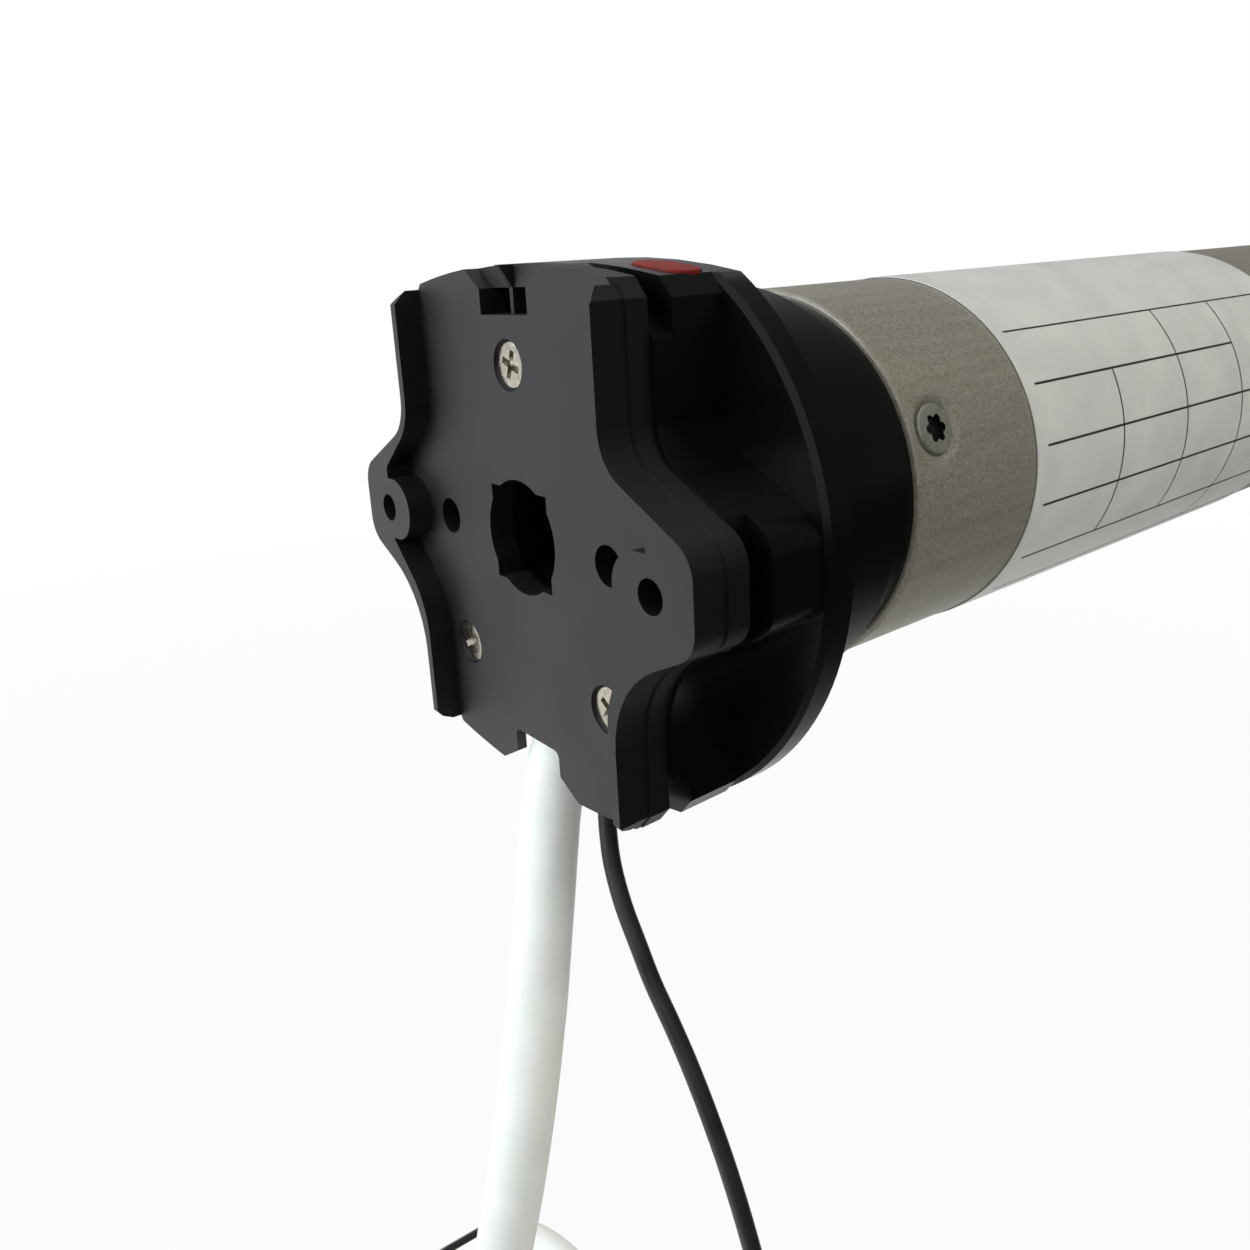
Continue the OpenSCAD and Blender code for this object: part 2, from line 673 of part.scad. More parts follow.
module cable_gland() {
  color("#2a2a2c")
    difference() {
      block([gland_front, lead_y - gland_half, -gland_z], [gland_back, lead_y + gland_half, -gland_z + gland_h]);
      translate([gland_x, lead_y, -gland_z - 1]) cylinder(h = gland_h + 2, r = lead_d / 2 + 0.05);
    }
}
module mains_lead() {
  color("#e9eaea") swept(lead_route, lead_d / 2, 12, [1, 0, 0]);
}
module lead_coil() {
  color("#e4e5e5") swept(coil_path, lead_d / 2, 6, [1, 0, 0]);
}
tie_angles = [coil_start - 18, coil_start - 190];
module coil_ties() {
  outer = coil_out_r + lead_d / 2 + 0.6;
  inner = coil_in_r - lead_d / 2 - 0.8;
  low = -lead_d / 2 - 0.6;
  high = coil_step * (coil_layers - 1) + lead_d / 2 + 0.6;
  color("#303234")
    for (a = tie_angles)
      translate(coil_centre) rotate([a, 0, 0])
        difference() {
          block([low - 1.2, inner - 1.2, -2.4], [high + 1.2, outer + 1.2, 2.4]);
          block([low, inner, -4], [high, outer, 4]);
        }
}
core_colours = ["#6b4226", "#1f4fa3", "#3f8f3a"];
core_r = 1.3;
core_l = 42;
module lead_cores() {
  for (k = [0:2]) {
    a = 120 * k + 30;
    at = coil_end + [1.6 * cos(a), 1.6 * sin(a), -seat_gap];
    color(core_colours[k]) translate(at - [0, 0, core_l]) cylinder(h = core_l, r = core_r);
    color("#c87941") translate(at - [0, 0, core_l + 7 - eps]) cylinder(h = 7, r = 0.7);
  }
}
module aerial_wire() {
  color("#1c1d1f") swept(aerial_route, aerial_d / 2, 8, [1, 0, 0]);
}

// The terminal block lies low down across the hollow neck
terminal_x = cavity_front + 12;
terminal_l = 12;
terminal_h = 9.3;
terminal_half = 0.6 * cavity_r;
terminal_low = sqrt(pow(cavity_r - 0.6, 2) - pow(terminal_half, 2));
terminal_pitch = 0.585 * terminal_half;
terminal_wire_z = 5.8 - terminal_low;
module terminal_block() {
  color("#d8d4c4")
    difference() {
      block([terminal_x, -terminal_half, -terminal_low], [terminal_x + terminal_l, terminal_half, terminal_h - terminal_low]);
      for (k = [-1:1]) {
        rod(terminal_x - 1, terminal_l + 2, 1.5, terminal_pitch * k, terminal_wire_z);
        translate([terminal_x + terminal_l / 2, terminal_pitch * k, terminal_wire_z]) cylinder(h = 10, r = 1.6);
      }
    }
  color("#d8d4c4")
    block([terminal_x + 1, 0.5 - terminal_half, -terminal_low - 0.3],
      [terminal_x + terminal_l - 1, terminal_half - 0.5, eps - terminal_low]);
}
module inner_leads() {
  r = 1.1;
  for (k = [0:2]) {
    y = lead_y + 2.35 * (k - 1);
    z = tunnel_h / 2 - tunnel_z;
    x = gland_x;
    wire_y = terminal_pitch * (k - 1);
    hole_z = terminal_wire_z;
    wire_z = board_z + board_t + 1.4;
    color(core_colours[k])
      swept([[x, y, -gland_z + gland_h + seat_gap], [x, y, z - 1.2], [x + 1.2, y, z], [x + 6, y, z], [cavity_front + 3, y, z],
        [cavity_front + 7, (y + wire_y) / 2, hole_z - 1.5], [terminal_x - 2, wire_y, hole_z], [terminal_x + 3, wire_y, hole_z]],
        r, 8, [0, 1, 0]);
    color(core_colours[k])
      swept([[terminal_x + 9, wire_y, hole_z], [terminal_x + 15, wire_y, hole_z],
        [spigot_end - 8, wire_y, wire_z - 1.5], [board_front - 4, wire_y, wire_z],
        [board_front + 1.9, wire_y, wire_z]], r, 8, [0, 1, 0]);
  }
}

// Screws through the tube's wall, spaced evenly round it
tube_screws_round = 3;
screw_turn = 360 / tube_screws_round;
front_screws = [tube_front + tube_screw_inset, tube_screw_angle];
end_screws = [tube_end - tube_screw_inset - 4, tube_screw_angle + end_screw_turn];
module at_tube_screws(ring_of) {
  for (k = [0:tube_screws_round - 1])
    translate([ring_of[0], 0, 0]) rotate([-ring_of[1] - k * screw_turn, 0, 0]) translate([0, -tube_r, 0]) rotate([-90, 0, 0])
      children();
}
module tube_screw_holes(ring_of, slack) {
  at_tube_screws(ring_of) {
    translate([0, 0, -1]) cylinder(h = 9, r = 1.35);
    translate([0, 0, -0.5]) cylinder(h = 2.4, r1 = tube_screw_r + 1.5, r2 = tube_screw_r - 0.8 + slack);
  }
}
module tube_screws() {
  color("#c4c1b8")
    for (ring_of = [front_screws, end_screws])
      at_tube_screws(ring_of)
        difference() {
          union() {
            translate([0, 0, 0.25]) cylinder(h = 0.5, r = tube_screw_r);
            translate([0, 0, 0.74]) cylinder(h = 1.1, r1 = tube_screw_r, r2 = 1.5);
            translate([0, 0, 1.5]) cylinder(h = 6, r = 1.3);
          }
          for (k = [0:2]) rotate([0, 0, 60 * k]) translate([-1.35, -0.42, -1]) cube([2.7, 0.84, 2.6]);
        }
}
module motor_tube() {
  color("#a9a293")
    difference() {
      ring(tube_front, tube_l, tube_r, tube_in_r);
      tube_screw_holes(front_screws, 0.3);
      tube_screw_holes(end_screws, 0.3);
    }
}
module rating_label() {
  middle = 28;
  color("#dfe4e6")
    intersection() {
      ring(tube_front + label_inset, label_l, tube_r + film_gap + label_t, tube_r + film_gap);
      rotate([-middle, 0, 0]) rotate([90, 0, 90])
        linear_extrude(tube_end)
          polygon(concat([[0, 0]], [for (i = [0:6]) let (a = 180 - label_wrap / 2 + label_wrap * i / 6) 60 * [cos(a), sin(a)]]));
    }
}

saddle_t = 3;
module board_cradle() {
  color("#4a4c50") {
    difference() {
      ring(cradle_front, cradle_end - cradle_front, cradle_r, cradle_r - cradle_wall);
      block([cradle_front - 1, -tube_r, board_z + board_t + 2.2], [cradle_end + 1, tube_r, tube_r]);
      for (s = [-1, 1])
        block([cradle_front + 1, min(s * (board_half - 1), s * (board_half + 0.3)), board_z - 0.05],
          [cradle_end + 1, max(s * (board_half - 1), s * (board_half + 0.3)), board_z + board_t + 0.05]);
    }
    for (x = [capacitor_front + 4, capacitor_front + capacitor_l - 4 - saddle_t])
      difference() {
        rod(x, saddle_t, cradle_r - cradle_wall + 0.1);
        rod(x - 1, saddle_t + 2, capacitor_d / 2 + seat_gap);
        block([x - 1, -tube_r, board_z], [x + saddle_t + 1, tube_r, tube_r]);
      }
    for (s = [-1, 1])
      difference() {
        block([board_front, min(s * (board_half - 2), s * (board_half + 1.6)), board_z - 1.6],
          [board_front + board_l, max(s * (board_half - 2), s * (board_half + 1.6)), board_z - 0.05]);
        ring(board_front - 1, board_l + 2, tube_r + 5, cradle_r - 0.2);
      }
  }
}
module control_board() {
  top = board_z + board_t;
  color("#1f6b43") block([board_front, -board_half, board_z], [board_front + board_l, board_half, top]);
  color("#2a2a2a") {
    block([board_front + 2, -10, top - eps], [board_front + 9, 10, top + 7]);
    for (k = [0:2]) block([board_front + 46, -14 + 9 * k, top - eps], [board_front + 51, -9 + 9 * k, top + 2]);
  }
  color("#b98a3a")
    for (k = [0:3])
      translate([board_front + 60 + 6 * k, 0.66 * board_half, top - eps]) cylinder(h = 9, r = 2.5);
}
// Places across the board, as shares of its half-width
outer_share = 0.72;
inner_share = 0.11;
module power_relays() {
  color("#2f6fb0")
    for (k = [0:1])
      block([board_front + 12 + 14 * k, -outer_share * board_half, board_z + board_t],
        [board_front + 24 + 14 * k, -inner_share * board_half, board_z + board_t + 15]);
}
module transformer() {
  top = board_z + board_t;
  near = inner_share * board_half;
  far = outer_share * board_half;
  color("#3c3a36") block([board_front + 12, near - 2, top], [board_front + 34, far + 1, top + 3]);
  color("#c9a227") block([board_front + 14, near, top + 3 - eps], [board_front + 32, far - 1, top + 13]);
}
module radio_receiver() {
  top = board_z + board_t;
  y = 1 - outer_share * board_half;
  color("#20486e") block([board_front + 55, y - 1, top], [board_front + 80, y, top + 14]);
  color("#b0b4b8") block([board_front + 58, y - eps, top + 3], [board_front + 70, y + 2.5, top + 11]);
}
module run_capacitor() {
  color("#d9d7d0") {
    rod(capacitor_front, capacitor_l, capacitor_d / 2);
    for (s = [-1, 1]) rod(capacitor_front - 4, 4 + eps, 1, s * 6, 4);
  }
}

spacer_ring = tube_in_r - 7;
module encoder_board() {
  color("#1f6b43")
    difference() {
      rod(encoder_x, board_t, cavity_r - 1);
      rod(encoder_x - 1, board_t + 2, 4);
    }
  color("#2a2a2a") rod(encoder_x + board_t - eps, 1.2, 1.6, 9, 0);
  // Spacers to the end shield
  color("#c4c1b8")
    for (a = [45:90:315]) rod(encoder_x + board_t - eps, encoder_gap - seat_gap, 1.8, spacer_ring * cos(a), spacer_ring * sin(a));
}
module encoder_magnet() {
  color("#4b4e52")
    ring(encoder_x + board_t + 1.8, 2.6, rotor_shaft_r + 8, rotor_shaft_r + press_gap);
}
vent_ring = tube_in_r - 6;
module end_shield(x, seat_x) {
  difference() {
    rod(x, shield_t, insert_r);
    rod(seat_x, bearing_l + 0.1, bearing_r);
    rod(x - 1, shield_t + 2, rotor_shaft_r + 1.5);
    for (a = [0:60:300]) rod(x - 1, shield_t + 2, 1.8, vent_ring * cos(a), vent_ring * sin(a));
  }
}
module front_shield() {
  color("#9fa2a4") end_shield(front_shield_front, front_shield_rear - bearing_l);
}
module rear_shield() {
  color("#9fa2a4") end_shield(rear_shield_front, rear_shield_front - 0.1);
}
module bearing(x) {
  difference() {
    rod(x, bearing_l, bearing_r - 0.01);
    rod(x - 1, bearing_l + 2, rotor_shaft_r + run_gap);
    ring(x - 1, 1.6, bearing_r - 1.7, rotor_shaft_r + 1.6);
    ring(x + bearing_l - 0.6, 1.6, bearing_r - 1.7, rotor_shaft_r + 1.6);
  }
}
module front_bearing() {
  color("#c8cacc") bearing(front_shield_rear - bearing_l);
}
module rear_bearing() {
  color("#c8cacc") bearing(rear_shield_front);
}

stator_bore = tube_in_r - stator_wall;
rotor_r = stator_bore - air_gap;
slot_count = 12;
slot_r = 2.3;
slot_mid = stator_bore + slot_r + 0.9;
module stator_core() {
  color("#7d8084")
    difference() {
      ring(stator_front, stator_l, tube_in_r - 0.05, stator_bore);
      for (k = [0:slot_count - 1])
        rotate([360 * (k + 0.5) / slot_count, 0, 0]) rod(stator_front - 1, stator_l + 2, slot_r, slot_mid);
    }
}
module stator_windings() {
  color("#b5652b") {
    for (x = [stator_front - winding_l, stator_rear])
      difference() {
        ring(x, winding_l, tube_in_r - 2, stator_bore + 0.5);
        ring(x - 1, 2.6, tube_in_r, tube_in_r - 3.2);
      }
    for (k = [0:slot_count - 1])
      rotate([360 * (k + 0.5) / slot_count, 0, 0]) rod(stator_front - eps, stator_l + 2 * eps, slot_r - seat_gap, slot_mid);
  }
}
module rotor_core() {
  color("#8c8f93")
    difference() {
      union() {
        rod(stator_front, stator_l, rotor_r);
        ring(stator_front - 4, 4 + eps, rotor_r - 1, 6);
        ring(stator_rear - eps, 4, rotor_r - 1, 6);
      }
      rod(stator_front - 5, stator_l + 10, rotor_shaft_r + 1 + press_gap);
    }
}
sun_front = stage_1_front - 0.3;
module rotor_shaft() {
  color("#c8cacc") {
    rod(encoder_x + board_t + 1.2, stage_1_rear - encoder_x - board_t - 1.4, rotor_shaft_r);
    rod(stator_front - 8, stator_l + 16, rotor_shaft_r + 1);
  }
}

disc_x = brake_front + 8;
disc_t = 3;
housing_in_r = insert_r - 1.8;
brake_plate_r = housing_in_r - 0.3;
brake_plate_bore = rotor_shaft_r + 3.5;
post_r = 1.6;
post_ring = brake_plate_r - post_r - 0.4;
disc_r = post_ring - post_r - 0.7;
brake_lining = 0.1;
plate_x = disc_x + disc_t + brake_lining;
brake_plate_t = 3;
module brake_disc() {
  color("#6d5b4a") {
    ring(disc_x, disc_t, disc_r, rotor_shaft_r + press_gap);
    ring(disc_x - 3, 3 + eps, 2 * rotor_shaft_r, rotor_shaft_r + press_gap);
  }
}
module brake_plate() {
  color("#93969a")
    difference() {
      ring(plate_x, brake_plate_t, brake_plate_r, brake_plate_bore);
      for (a = [60:120:300]) rotate([a, 0, 0]) rod(plate_x - 1, brake_plate_t + 2, post_r + 0.15, post_ring);
    }
}
spring_gap = brake_rear - brake_wall_t - plate_x - brake_plate_t - brake_travel - 0.1;
spring_r = 2.6;
spring_at = (brake_plate_r + brake_plate_bore) / 2 - 1.15;
module brake_springs() {
  color("#b8bcc0")
    for (a = [0:120:240])
      rotate([a, 0, 0])
        difference() {
          rod(plate_x + brake_plate_t + brake_travel + seat_gap, spring_gap, spring_r, spring_at);
          rod(plate_x + brake_plate_t + brake_travel - 1, spring_gap + 2, spring_r - 0.9, spring_at);
        }
}
module brake_housing() {
  color("#8d9093") {
    difference() {
      rod(brake_front, brake_l, insert_r);
      rod(brake_front - 1, brake_l - brake_wall_t + 1, housing_in_r);
      rod(brake_front, brake_l + 1, sun_pitch_r + addendum + 0.5);
    }
    // Guide posts that stop the plate from turning
    for (a = [60:120:300]) rotate([a, 0, 0]) rod(plate_x - 1.5, brake_rear - plate_x, post_r, post_ring);
  }
}

module ring_gear() {
  color("#e4ddca")
    difference() {
      rod(ring_front, cap_front - ring_front, insert_r);
      along(ring_front - 1, cap_front - ring_front + 2) ring_space();
    }
}
module sun_gear(x, l, bore) {
  difference() {
    along(x, l) external_gear(sun_teeth);
    if (bore > 0) rod(x - 1, l + 2, bore);
  }
}
module sun_pinion() {
  color("#b9bcc0") sun_gear(sun_front, face_1 + 0.5, rotor_shaft_r + press_gap);
}
module planet(x, face, k) {
  at = 360 * k / planets;
  color("#c9c3b0")
    translate([x, planet_centre * cos(at), planet_centre * sin(at)])
      difference() {
        rotate([planet_phase(at), 0, 0]) along(0, face) external_gear(planet_teeth);
        rod(-1, face + 2, pin_r + run_gap);
      }
}
module carrier(x, face, bore) {
  difference() {
    rod(x + face + plate_gap, carrier_t, carrier_r);
    if (bore > 0) rod(x + face, carrier_t + 2, bore);
  }
  for (k = [0:planets - 1]) {
    at = 360 * k / planets;
    rod(x - 0.2, face + plate_gap + 0.2 + eps, pin_r, planet_centre * cos(at), planet_centre * sin(at));
  }
}
module planet_1a() { planet(stage_1_front, face_1, 0); }
module planet_1b() { planet(stage_1_front, face_1, 1); }
module planet_1c() { planet(stage_1_front, face_1, 2); }
module planet_2a() { planet(stage_2_front, face_2, 0); }
module planet_2b() { planet(stage_2_front, face_2, 1); }
module planet_2c() { planet(stage_2_front, face_2, 2); }
module planet_3a() { planet(stage_3_front, face_3, 0); }
module planet_3b() { planet(stage_3_front, face_3, 1); }
module planet_3c() { planet(stage_3_front, face_3, 2); }
module carrier_1() {
  color("#a9adb1") {
    carrier(stage_1_front, face_1, 0);
    sun_gear(stage_1_rear + plate_gap + carrier_t - eps, stage_2_rear - stage_1_rear - plate_gap - carrier_t - 0.2, 0);
  }
}
module carrier_2() {
  color("#a9adb1") {
    carrier(stage_2_front, face_2, 0);
    sun_gear(stage_2_rear + plate_gap + carrier_t - eps, stage_3_rear - stage_2_rear - plate_gap - carrier_t - 0.2, 0);
  }
}
module output_carrier() {
  color("#a9adb1") carrier(stage_3_front, face_3, shaft_r + press_gap);
}
bush_r = 11;
bush_inset = 4;
shaft_front = stage_3_rear + plate_gap;
shaft_end = tube_end + cap_flange_t + shaft_out;
flats_l = shaft_out - 4;
ring_x = tube_end + cap_flange_t + 0.3;
shaft_ring_t = 1;
ring_groove = 0.8;
module output_shaft() {
  color("#c3c6c9")
    difference() {
      rod(shaft_front, shaft_end - shaft_front, shaft_r);
      for (s = [-1, 1])
        block([shaft_end - flats_l, -20, min(s * shaft_flats / 2, s * 20)], [shaft_end + 1, 20, max(s * shaft_flats / 2, s * 20)]);
      rod(shaft_end - shaft_bore_l, shaft_bore_l + 1, shaft_bore_r);
      ring(ring_x, shaft_ring_t + 0.1, shaft_r + 2, shaft_r - ring_groove);
    }
}
module output_bush() {
  color("#a37c3f")
    ring(cap_front + bush_inset, cap_plug_l + cap_flange_t - bush_inset, bush_r - 0.01, shaft_r + run_gap);
}
module end_cap() {
  color("#26272a")
    difference() {
      union() {
        rod(cap_front, cap_plug_l + 1, spigot_r);
        rod(tube_end, cap_flange_t, tube_r);
      }
      rod(cap_front + bush_inset, cap_plug_l + cap_flange_t, bush_r);
      rod(cap_front - 1, cap_plug_l, shaft_r + 1);
      tube_screw_holes(end_screws, 0.3);
    }
}
module shaft_ring() {
  color("#3a3d40")
    difference() {
      ring(ring_x + 0.05, shaft_ring_t, shaft_r + 1.6, shaft_r - ring_groove + 0.05);
      block([ring_x - 1, -2, 0], [ring_x + 3, 2, 20]);
    }
}

head_cover();
head_body();
cover_screws();
program_button();
button_board();
cable_gland();
mains_lead();
lead_coil();
coil_ties();
lead_cores();
aerial_wire();
terminal_block();
inner_leads();
motor_tube();
tube_screws();
rating_label();
board_cradle();
control_board();
power_relays();
transformer();
radio_receiver();
run_capacitor();
encoder_board();
encoder_magnet();
front_shield();
front_bearing();
stator_core();
stator_windings();
rotor_core();
rotor_shaft();
rear_shield();
rear_bearing();
brake_disc();
brake_plate();
brake_springs();
brake_housing();
ring_gear();
sun_pinion();
planet_1a();
planet_1b();
planet_1c();
carrier_1();
planet_2a();
planet_2b();
planet_2c();
carrier_2();
planet_3a();
planet_3b();
planet_3c();
output_carrier();
output_shaft();
output_bush();
end_cap();
shaft_ring();
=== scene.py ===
import json
import math
import bpy
from mathutils import Matrix, Vector


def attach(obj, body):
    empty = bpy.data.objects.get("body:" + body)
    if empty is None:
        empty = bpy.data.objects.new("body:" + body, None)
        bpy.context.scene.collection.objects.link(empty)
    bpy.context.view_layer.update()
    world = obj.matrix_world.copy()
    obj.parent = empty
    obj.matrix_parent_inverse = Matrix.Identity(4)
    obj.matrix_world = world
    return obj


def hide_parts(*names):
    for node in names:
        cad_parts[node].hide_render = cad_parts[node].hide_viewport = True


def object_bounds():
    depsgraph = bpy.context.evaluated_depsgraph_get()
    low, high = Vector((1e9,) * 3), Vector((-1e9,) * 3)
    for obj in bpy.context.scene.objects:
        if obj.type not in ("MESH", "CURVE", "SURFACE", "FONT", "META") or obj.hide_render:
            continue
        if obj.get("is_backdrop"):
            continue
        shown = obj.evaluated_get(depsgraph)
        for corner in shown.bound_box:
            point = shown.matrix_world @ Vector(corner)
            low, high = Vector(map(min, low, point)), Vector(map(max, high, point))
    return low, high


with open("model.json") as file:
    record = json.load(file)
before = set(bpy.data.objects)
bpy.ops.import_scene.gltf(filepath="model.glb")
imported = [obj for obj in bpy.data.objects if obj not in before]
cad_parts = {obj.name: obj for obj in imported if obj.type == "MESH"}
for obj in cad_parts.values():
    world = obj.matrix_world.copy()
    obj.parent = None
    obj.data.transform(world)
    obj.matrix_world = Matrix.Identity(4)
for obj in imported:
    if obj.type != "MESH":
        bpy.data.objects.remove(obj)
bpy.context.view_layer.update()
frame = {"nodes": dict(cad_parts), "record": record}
mm = 0.001
tiny = 1e-9
slotOfNode = {entry["node"]: entry["material_slot"] for entry in frame["record"]["subparts"]}


# small helpers for objects

def makeActive(piece):
    bpy.ops.object.select_all(action="DESELECT")
    piece.select_set(True)
    bpy.context.view_layer.objects.active = piece


def settle(piece):
    makeActive(piece)
    bpy.ops.object.transform_apply(location=True, rotation=True, scale=True)
    return piece


def joinPieces(pieces, name):
    makeActive(pieces[0])
    for piece in pieces:
        piece.select_set(True)
    bpy.ops.object.join()
    pieces[0].name = name
    return pieces[0]


def ownCopy(source):
    piece = source.copy()
    piece.data = source.data.copy()
    bpy.context.scene.collection.objects.link(piece)
    return piece


def selectFaces(piece, chosen):
    for part in (*piece.data.vertices, *piece.data.edges):
        part.select = False
    for face in piece.data.polygons:
        face.select = chosen(face)


def inEditMode(piece, action):
    makeActive(piece)
    bpy.ops.object.mode_set(mode="EDIT")
    bpy.ops.mesh.select_mode(type="FACE")
    action()
    bpy.ops.object.mode_set(mode="OBJECT")


def mergeAndFace(piece, distance):
    # close the seams, and turn every face outwards
    def action():
        bpy.ops.mesh.select_all(action="SELECT")
        bpy.ops.mesh.remove_doubles(threshold=distance)
        bpy.ops.mesh.normals_make_consistent(inside=False)
    inEditMode(piece, action)


def smoothByAngle(piece, degrees=35):
    makeActive(piece)
    bpy.ops.object.shade_smooth_by_angle(angle=math.radians(degrees), keep_sharp_edges=False)


def applyModifiers(piece):
    makeActive(piece)
    for modifier in list(piece.modifiers):
        bpy.ops.object.modifier_apply(modifier=modifier.name)


def bevelEdges(piece, width, segments, degrees=32):
    bevel = piece.modifiers.new("edgeRound", "BEVEL")
    bevel.width = width
    bevel.segments = segments
    bevel.limit_method = "ANGLE"
    bevel.angle_limit = math.radians(degrees)
    bevel.use_clamp_overlap = True
    applyModifiers(piece)


def thicken(piece, thickness):
    # a sheet becomes a wall that grows outwards
    wall = piece.modifiers.new("wall", "SOLIDIFY")
    wall.thickness = thickness
    wall.offset = 1
    applyModifiers(piece)


def cutWith(piece, cutters):
    for cutter in cutters:
        cut = piece.modifiers.new("cut", "BOOLEAN")
        cut.operation = "DIFFERENCE"
        cut.solver = "EXACT"
        cut.object = cutter
        applyModifiers(piece)
        bpy.data.objects.remove(cutter, do_unlink=True)


def bodyOfNode(node):
    bodies = frame["record"]["behaviour"]["bodies"]
    return next(body for body, members in bodies.items() if node in members)


def standFor(piece, node, material=None):
    if material:
        piece.data.materials.clear()
        piece.data.materials.append(material)
    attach(piece, bodyOfNode(node))
    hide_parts(node)


copySizes = {"merge": 0.01 * mm, "flatWithin": 0.5}


def copyWithEdges(node, name, edge, segments, material):
    # a copy of a CAD solid with its edges broken, as a moulding or a turned piece has them
    piece = ownCopy(frame["nodes"][node])
    piece.parent = None
    piece.matrix_world = Matrix.Identity(4)
    piece.name = name
    for key in list(piece.keys()):
        del piece[key]
    mergeAndFace(piece, copySizes["merge"])

    def action():
        bpy.ops.mesh.select_all(action="SELECT")
        bpy.ops.mesh.dissolve_limited(angle_limit=math.radians(copySizes["flatWithin"]))
    inEditMode(piece, action)
    bevelEdges(piece, edge * mm, segments)
    smoothByAngle(piece)
    # large faces keep their own direction, so that they look flat beside their rounded edges
    flat = piece.modifiers.new("flatFaces", "WEIGHTED_NORMAL")
    flat.mode = "FACE_AREA"
    flat.keep_sharp = True
    applyModifiers(piece)
    standFor(piece, node, material)


# helpers for materials

def toLinear(hexText):
    parts = [int(hexText[i:i + 2], 16) / 255 for i in (1, 3, 5)]
    return [c / 12.92 if c <= 0.04045 else ((c + 0.055) / 1.055) ** 2.4 for c in parts] + [1.0]


def addNode(tree, kind, inputs=None, **settings):
    node = tree.nodes.new(kind)
    for key, value in settings.items():
        setattr(node, key, value)
    for key, value in (inputs or {}).items():
        if isinstance(value, bpy.types.NodeSocket):
            tree.links.new(value, node.inputs[key])
        else:
            node.inputs[key].default_value = value
    return node


def startMaterial(name, settings):
    material = bpy.data.materials.new(name)
    material.use_nodes = True
    tree = material.node_tree
    shader = tree.nodes["Principled BSDF"]
    for key, value in settings.items():
        shader.inputs[key].default_value = value
    place = addNode(tree, "ShaderNodeTexCoord").outputs["Object"]
    return material, tree, shader, place


# the share of a noise texture's range that its values mostly fill
noiseRange = (0.3, 0.7)


def tintAndRoughen(tree, shader, factor, tints, roughness, uneven):
    # the tint and the roughness wander together, as wear and handling make them do
    ramp = addNode(tree, "ShaderNodeValToRGB", {"Fac": factor})
    for stop, position, tint in zip(ramp.color_ramp.elements, noiseRange, tints):
        stop.position = position
        stop.color = toLinear(tint)
    tree.links.new(ramp.outputs["Color"], shader.inputs["Base Color"])
    rough = addNode(tree, "ShaderNodeMapRange", {
        "Value": factor, "From Min": noiseRange[0], "From Max": noiseRange[1],
        "To Min": roughness - uneven, "To Max": roughness + uneven})
    tree.links.new(rough.outputs["Result"], shader.inputs["Roughness"])


def grainAt(tree, place, size, detail=2.0):
    # size is the grain's own, in metres
    return addNode(tree, "ShaderNodeTexNoise", {
        "Vector": place, "Scale": 1 / size, "Detail": detail}).outputs["Fac"]


def bumpFrom(tree, shader, height, strength, distance):
    bump = addNode(tree, "ShaderNodeBump", {"Height": height, "Strength": strength, "Distance": distance})
    tree.links.new(bump.outputs["Normal"], shader.inputs["Normal"])


plasticLook = {"ior": 1.5, "patches": 9 * mm, "uneven": 0.05, "skinDetail": 4.0, "skinDepth": 0.02 * mm}


def mouldedPlastic(name, tints, roughness, specular=0.5, grain=0.35 * mm, bump=0.25):
    # injection-moulded plastic: a fine spark-eroded skin, a little patchy where it was handled
    look = plasticLook
    material, tree, shader, place = startMaterial(name, {"IOR": look["ior"], "Specular IOR Level": specular})
    tintAndRoughen(tree, shader, grainAt(tree, place, look["patches"]), tints, roughness, look["uneven"])
    bumpFrom(tree, shader, grainAt(tree, place, grain, look["skinDetail"]), bump, look["skinDepth"])
    return material


metalLook = {"uneven": 0.06, "detail": 3.0, "bump": 0.15, "markDepth": 0.01 * mm}


def satinMetal(name, tints, roughness, streak=(1, 1, 1), grain=0.3 * mm, metallic=1.0):
    # ground, turned or rolled metal: fine marks stretched along one direction
    look = metalLook
    material, tree, shader, place = startMaterial(name, {"Metallic": metallic})
    drawn = addNode(tree, "ShaderNodeMapping", {"Vector": place, "Scale": streak}).outputs["Vector"]
    marks = grainAt(tree, drawn, grain, look["detail"])
    tintAndRoughen(tree, shader, marks, tints, roughness, look["uneven"])
    bumpFrom(tree, shader, marks, look["bump"], look["markDepth"])
    return material


sheathLook = {
    "ior": 1.52, "marks": 5 * mm, "markDetail": 3.0, "uneven": 0.06, "fine": 0.4 * mm, "bump": 0.12,
    "fineDepth": 0.02 * mm,
}


def pvcSheath(name, tints, roughness, specular):
    # extruded PVC: smooth, slightly waxy, with faint drawing lines and handling marks
    look = sheathLook
    material, tree, shader, place = startMaterial(name, {"IOR": look["ior"], "Specular IOR Level": specular})
    marks = grainAt(tree, place, look["marks"], look["markDetail"])
    tintAndRoughen(tree, shader, marks, tints, roughness, look["uneven"])
    bumpFrom(tree, shader, grainAt(tree, place, look["fine"]), look["bump"], look["fineDepth"])
    return material


# camera, at the photograph's viewpoint

cameraSizes = {
    "place": (-49.77 * mm, -85.53 * mm, 26.75 * mm),
    "azimuth": -36.44, "elevation": 14.99, "roll": -3.37,
    "lens": 29.41, "sensor": 36, "shift": (0.0173, -0.0729), "nearest": 0.002, "farthest": 50,
}


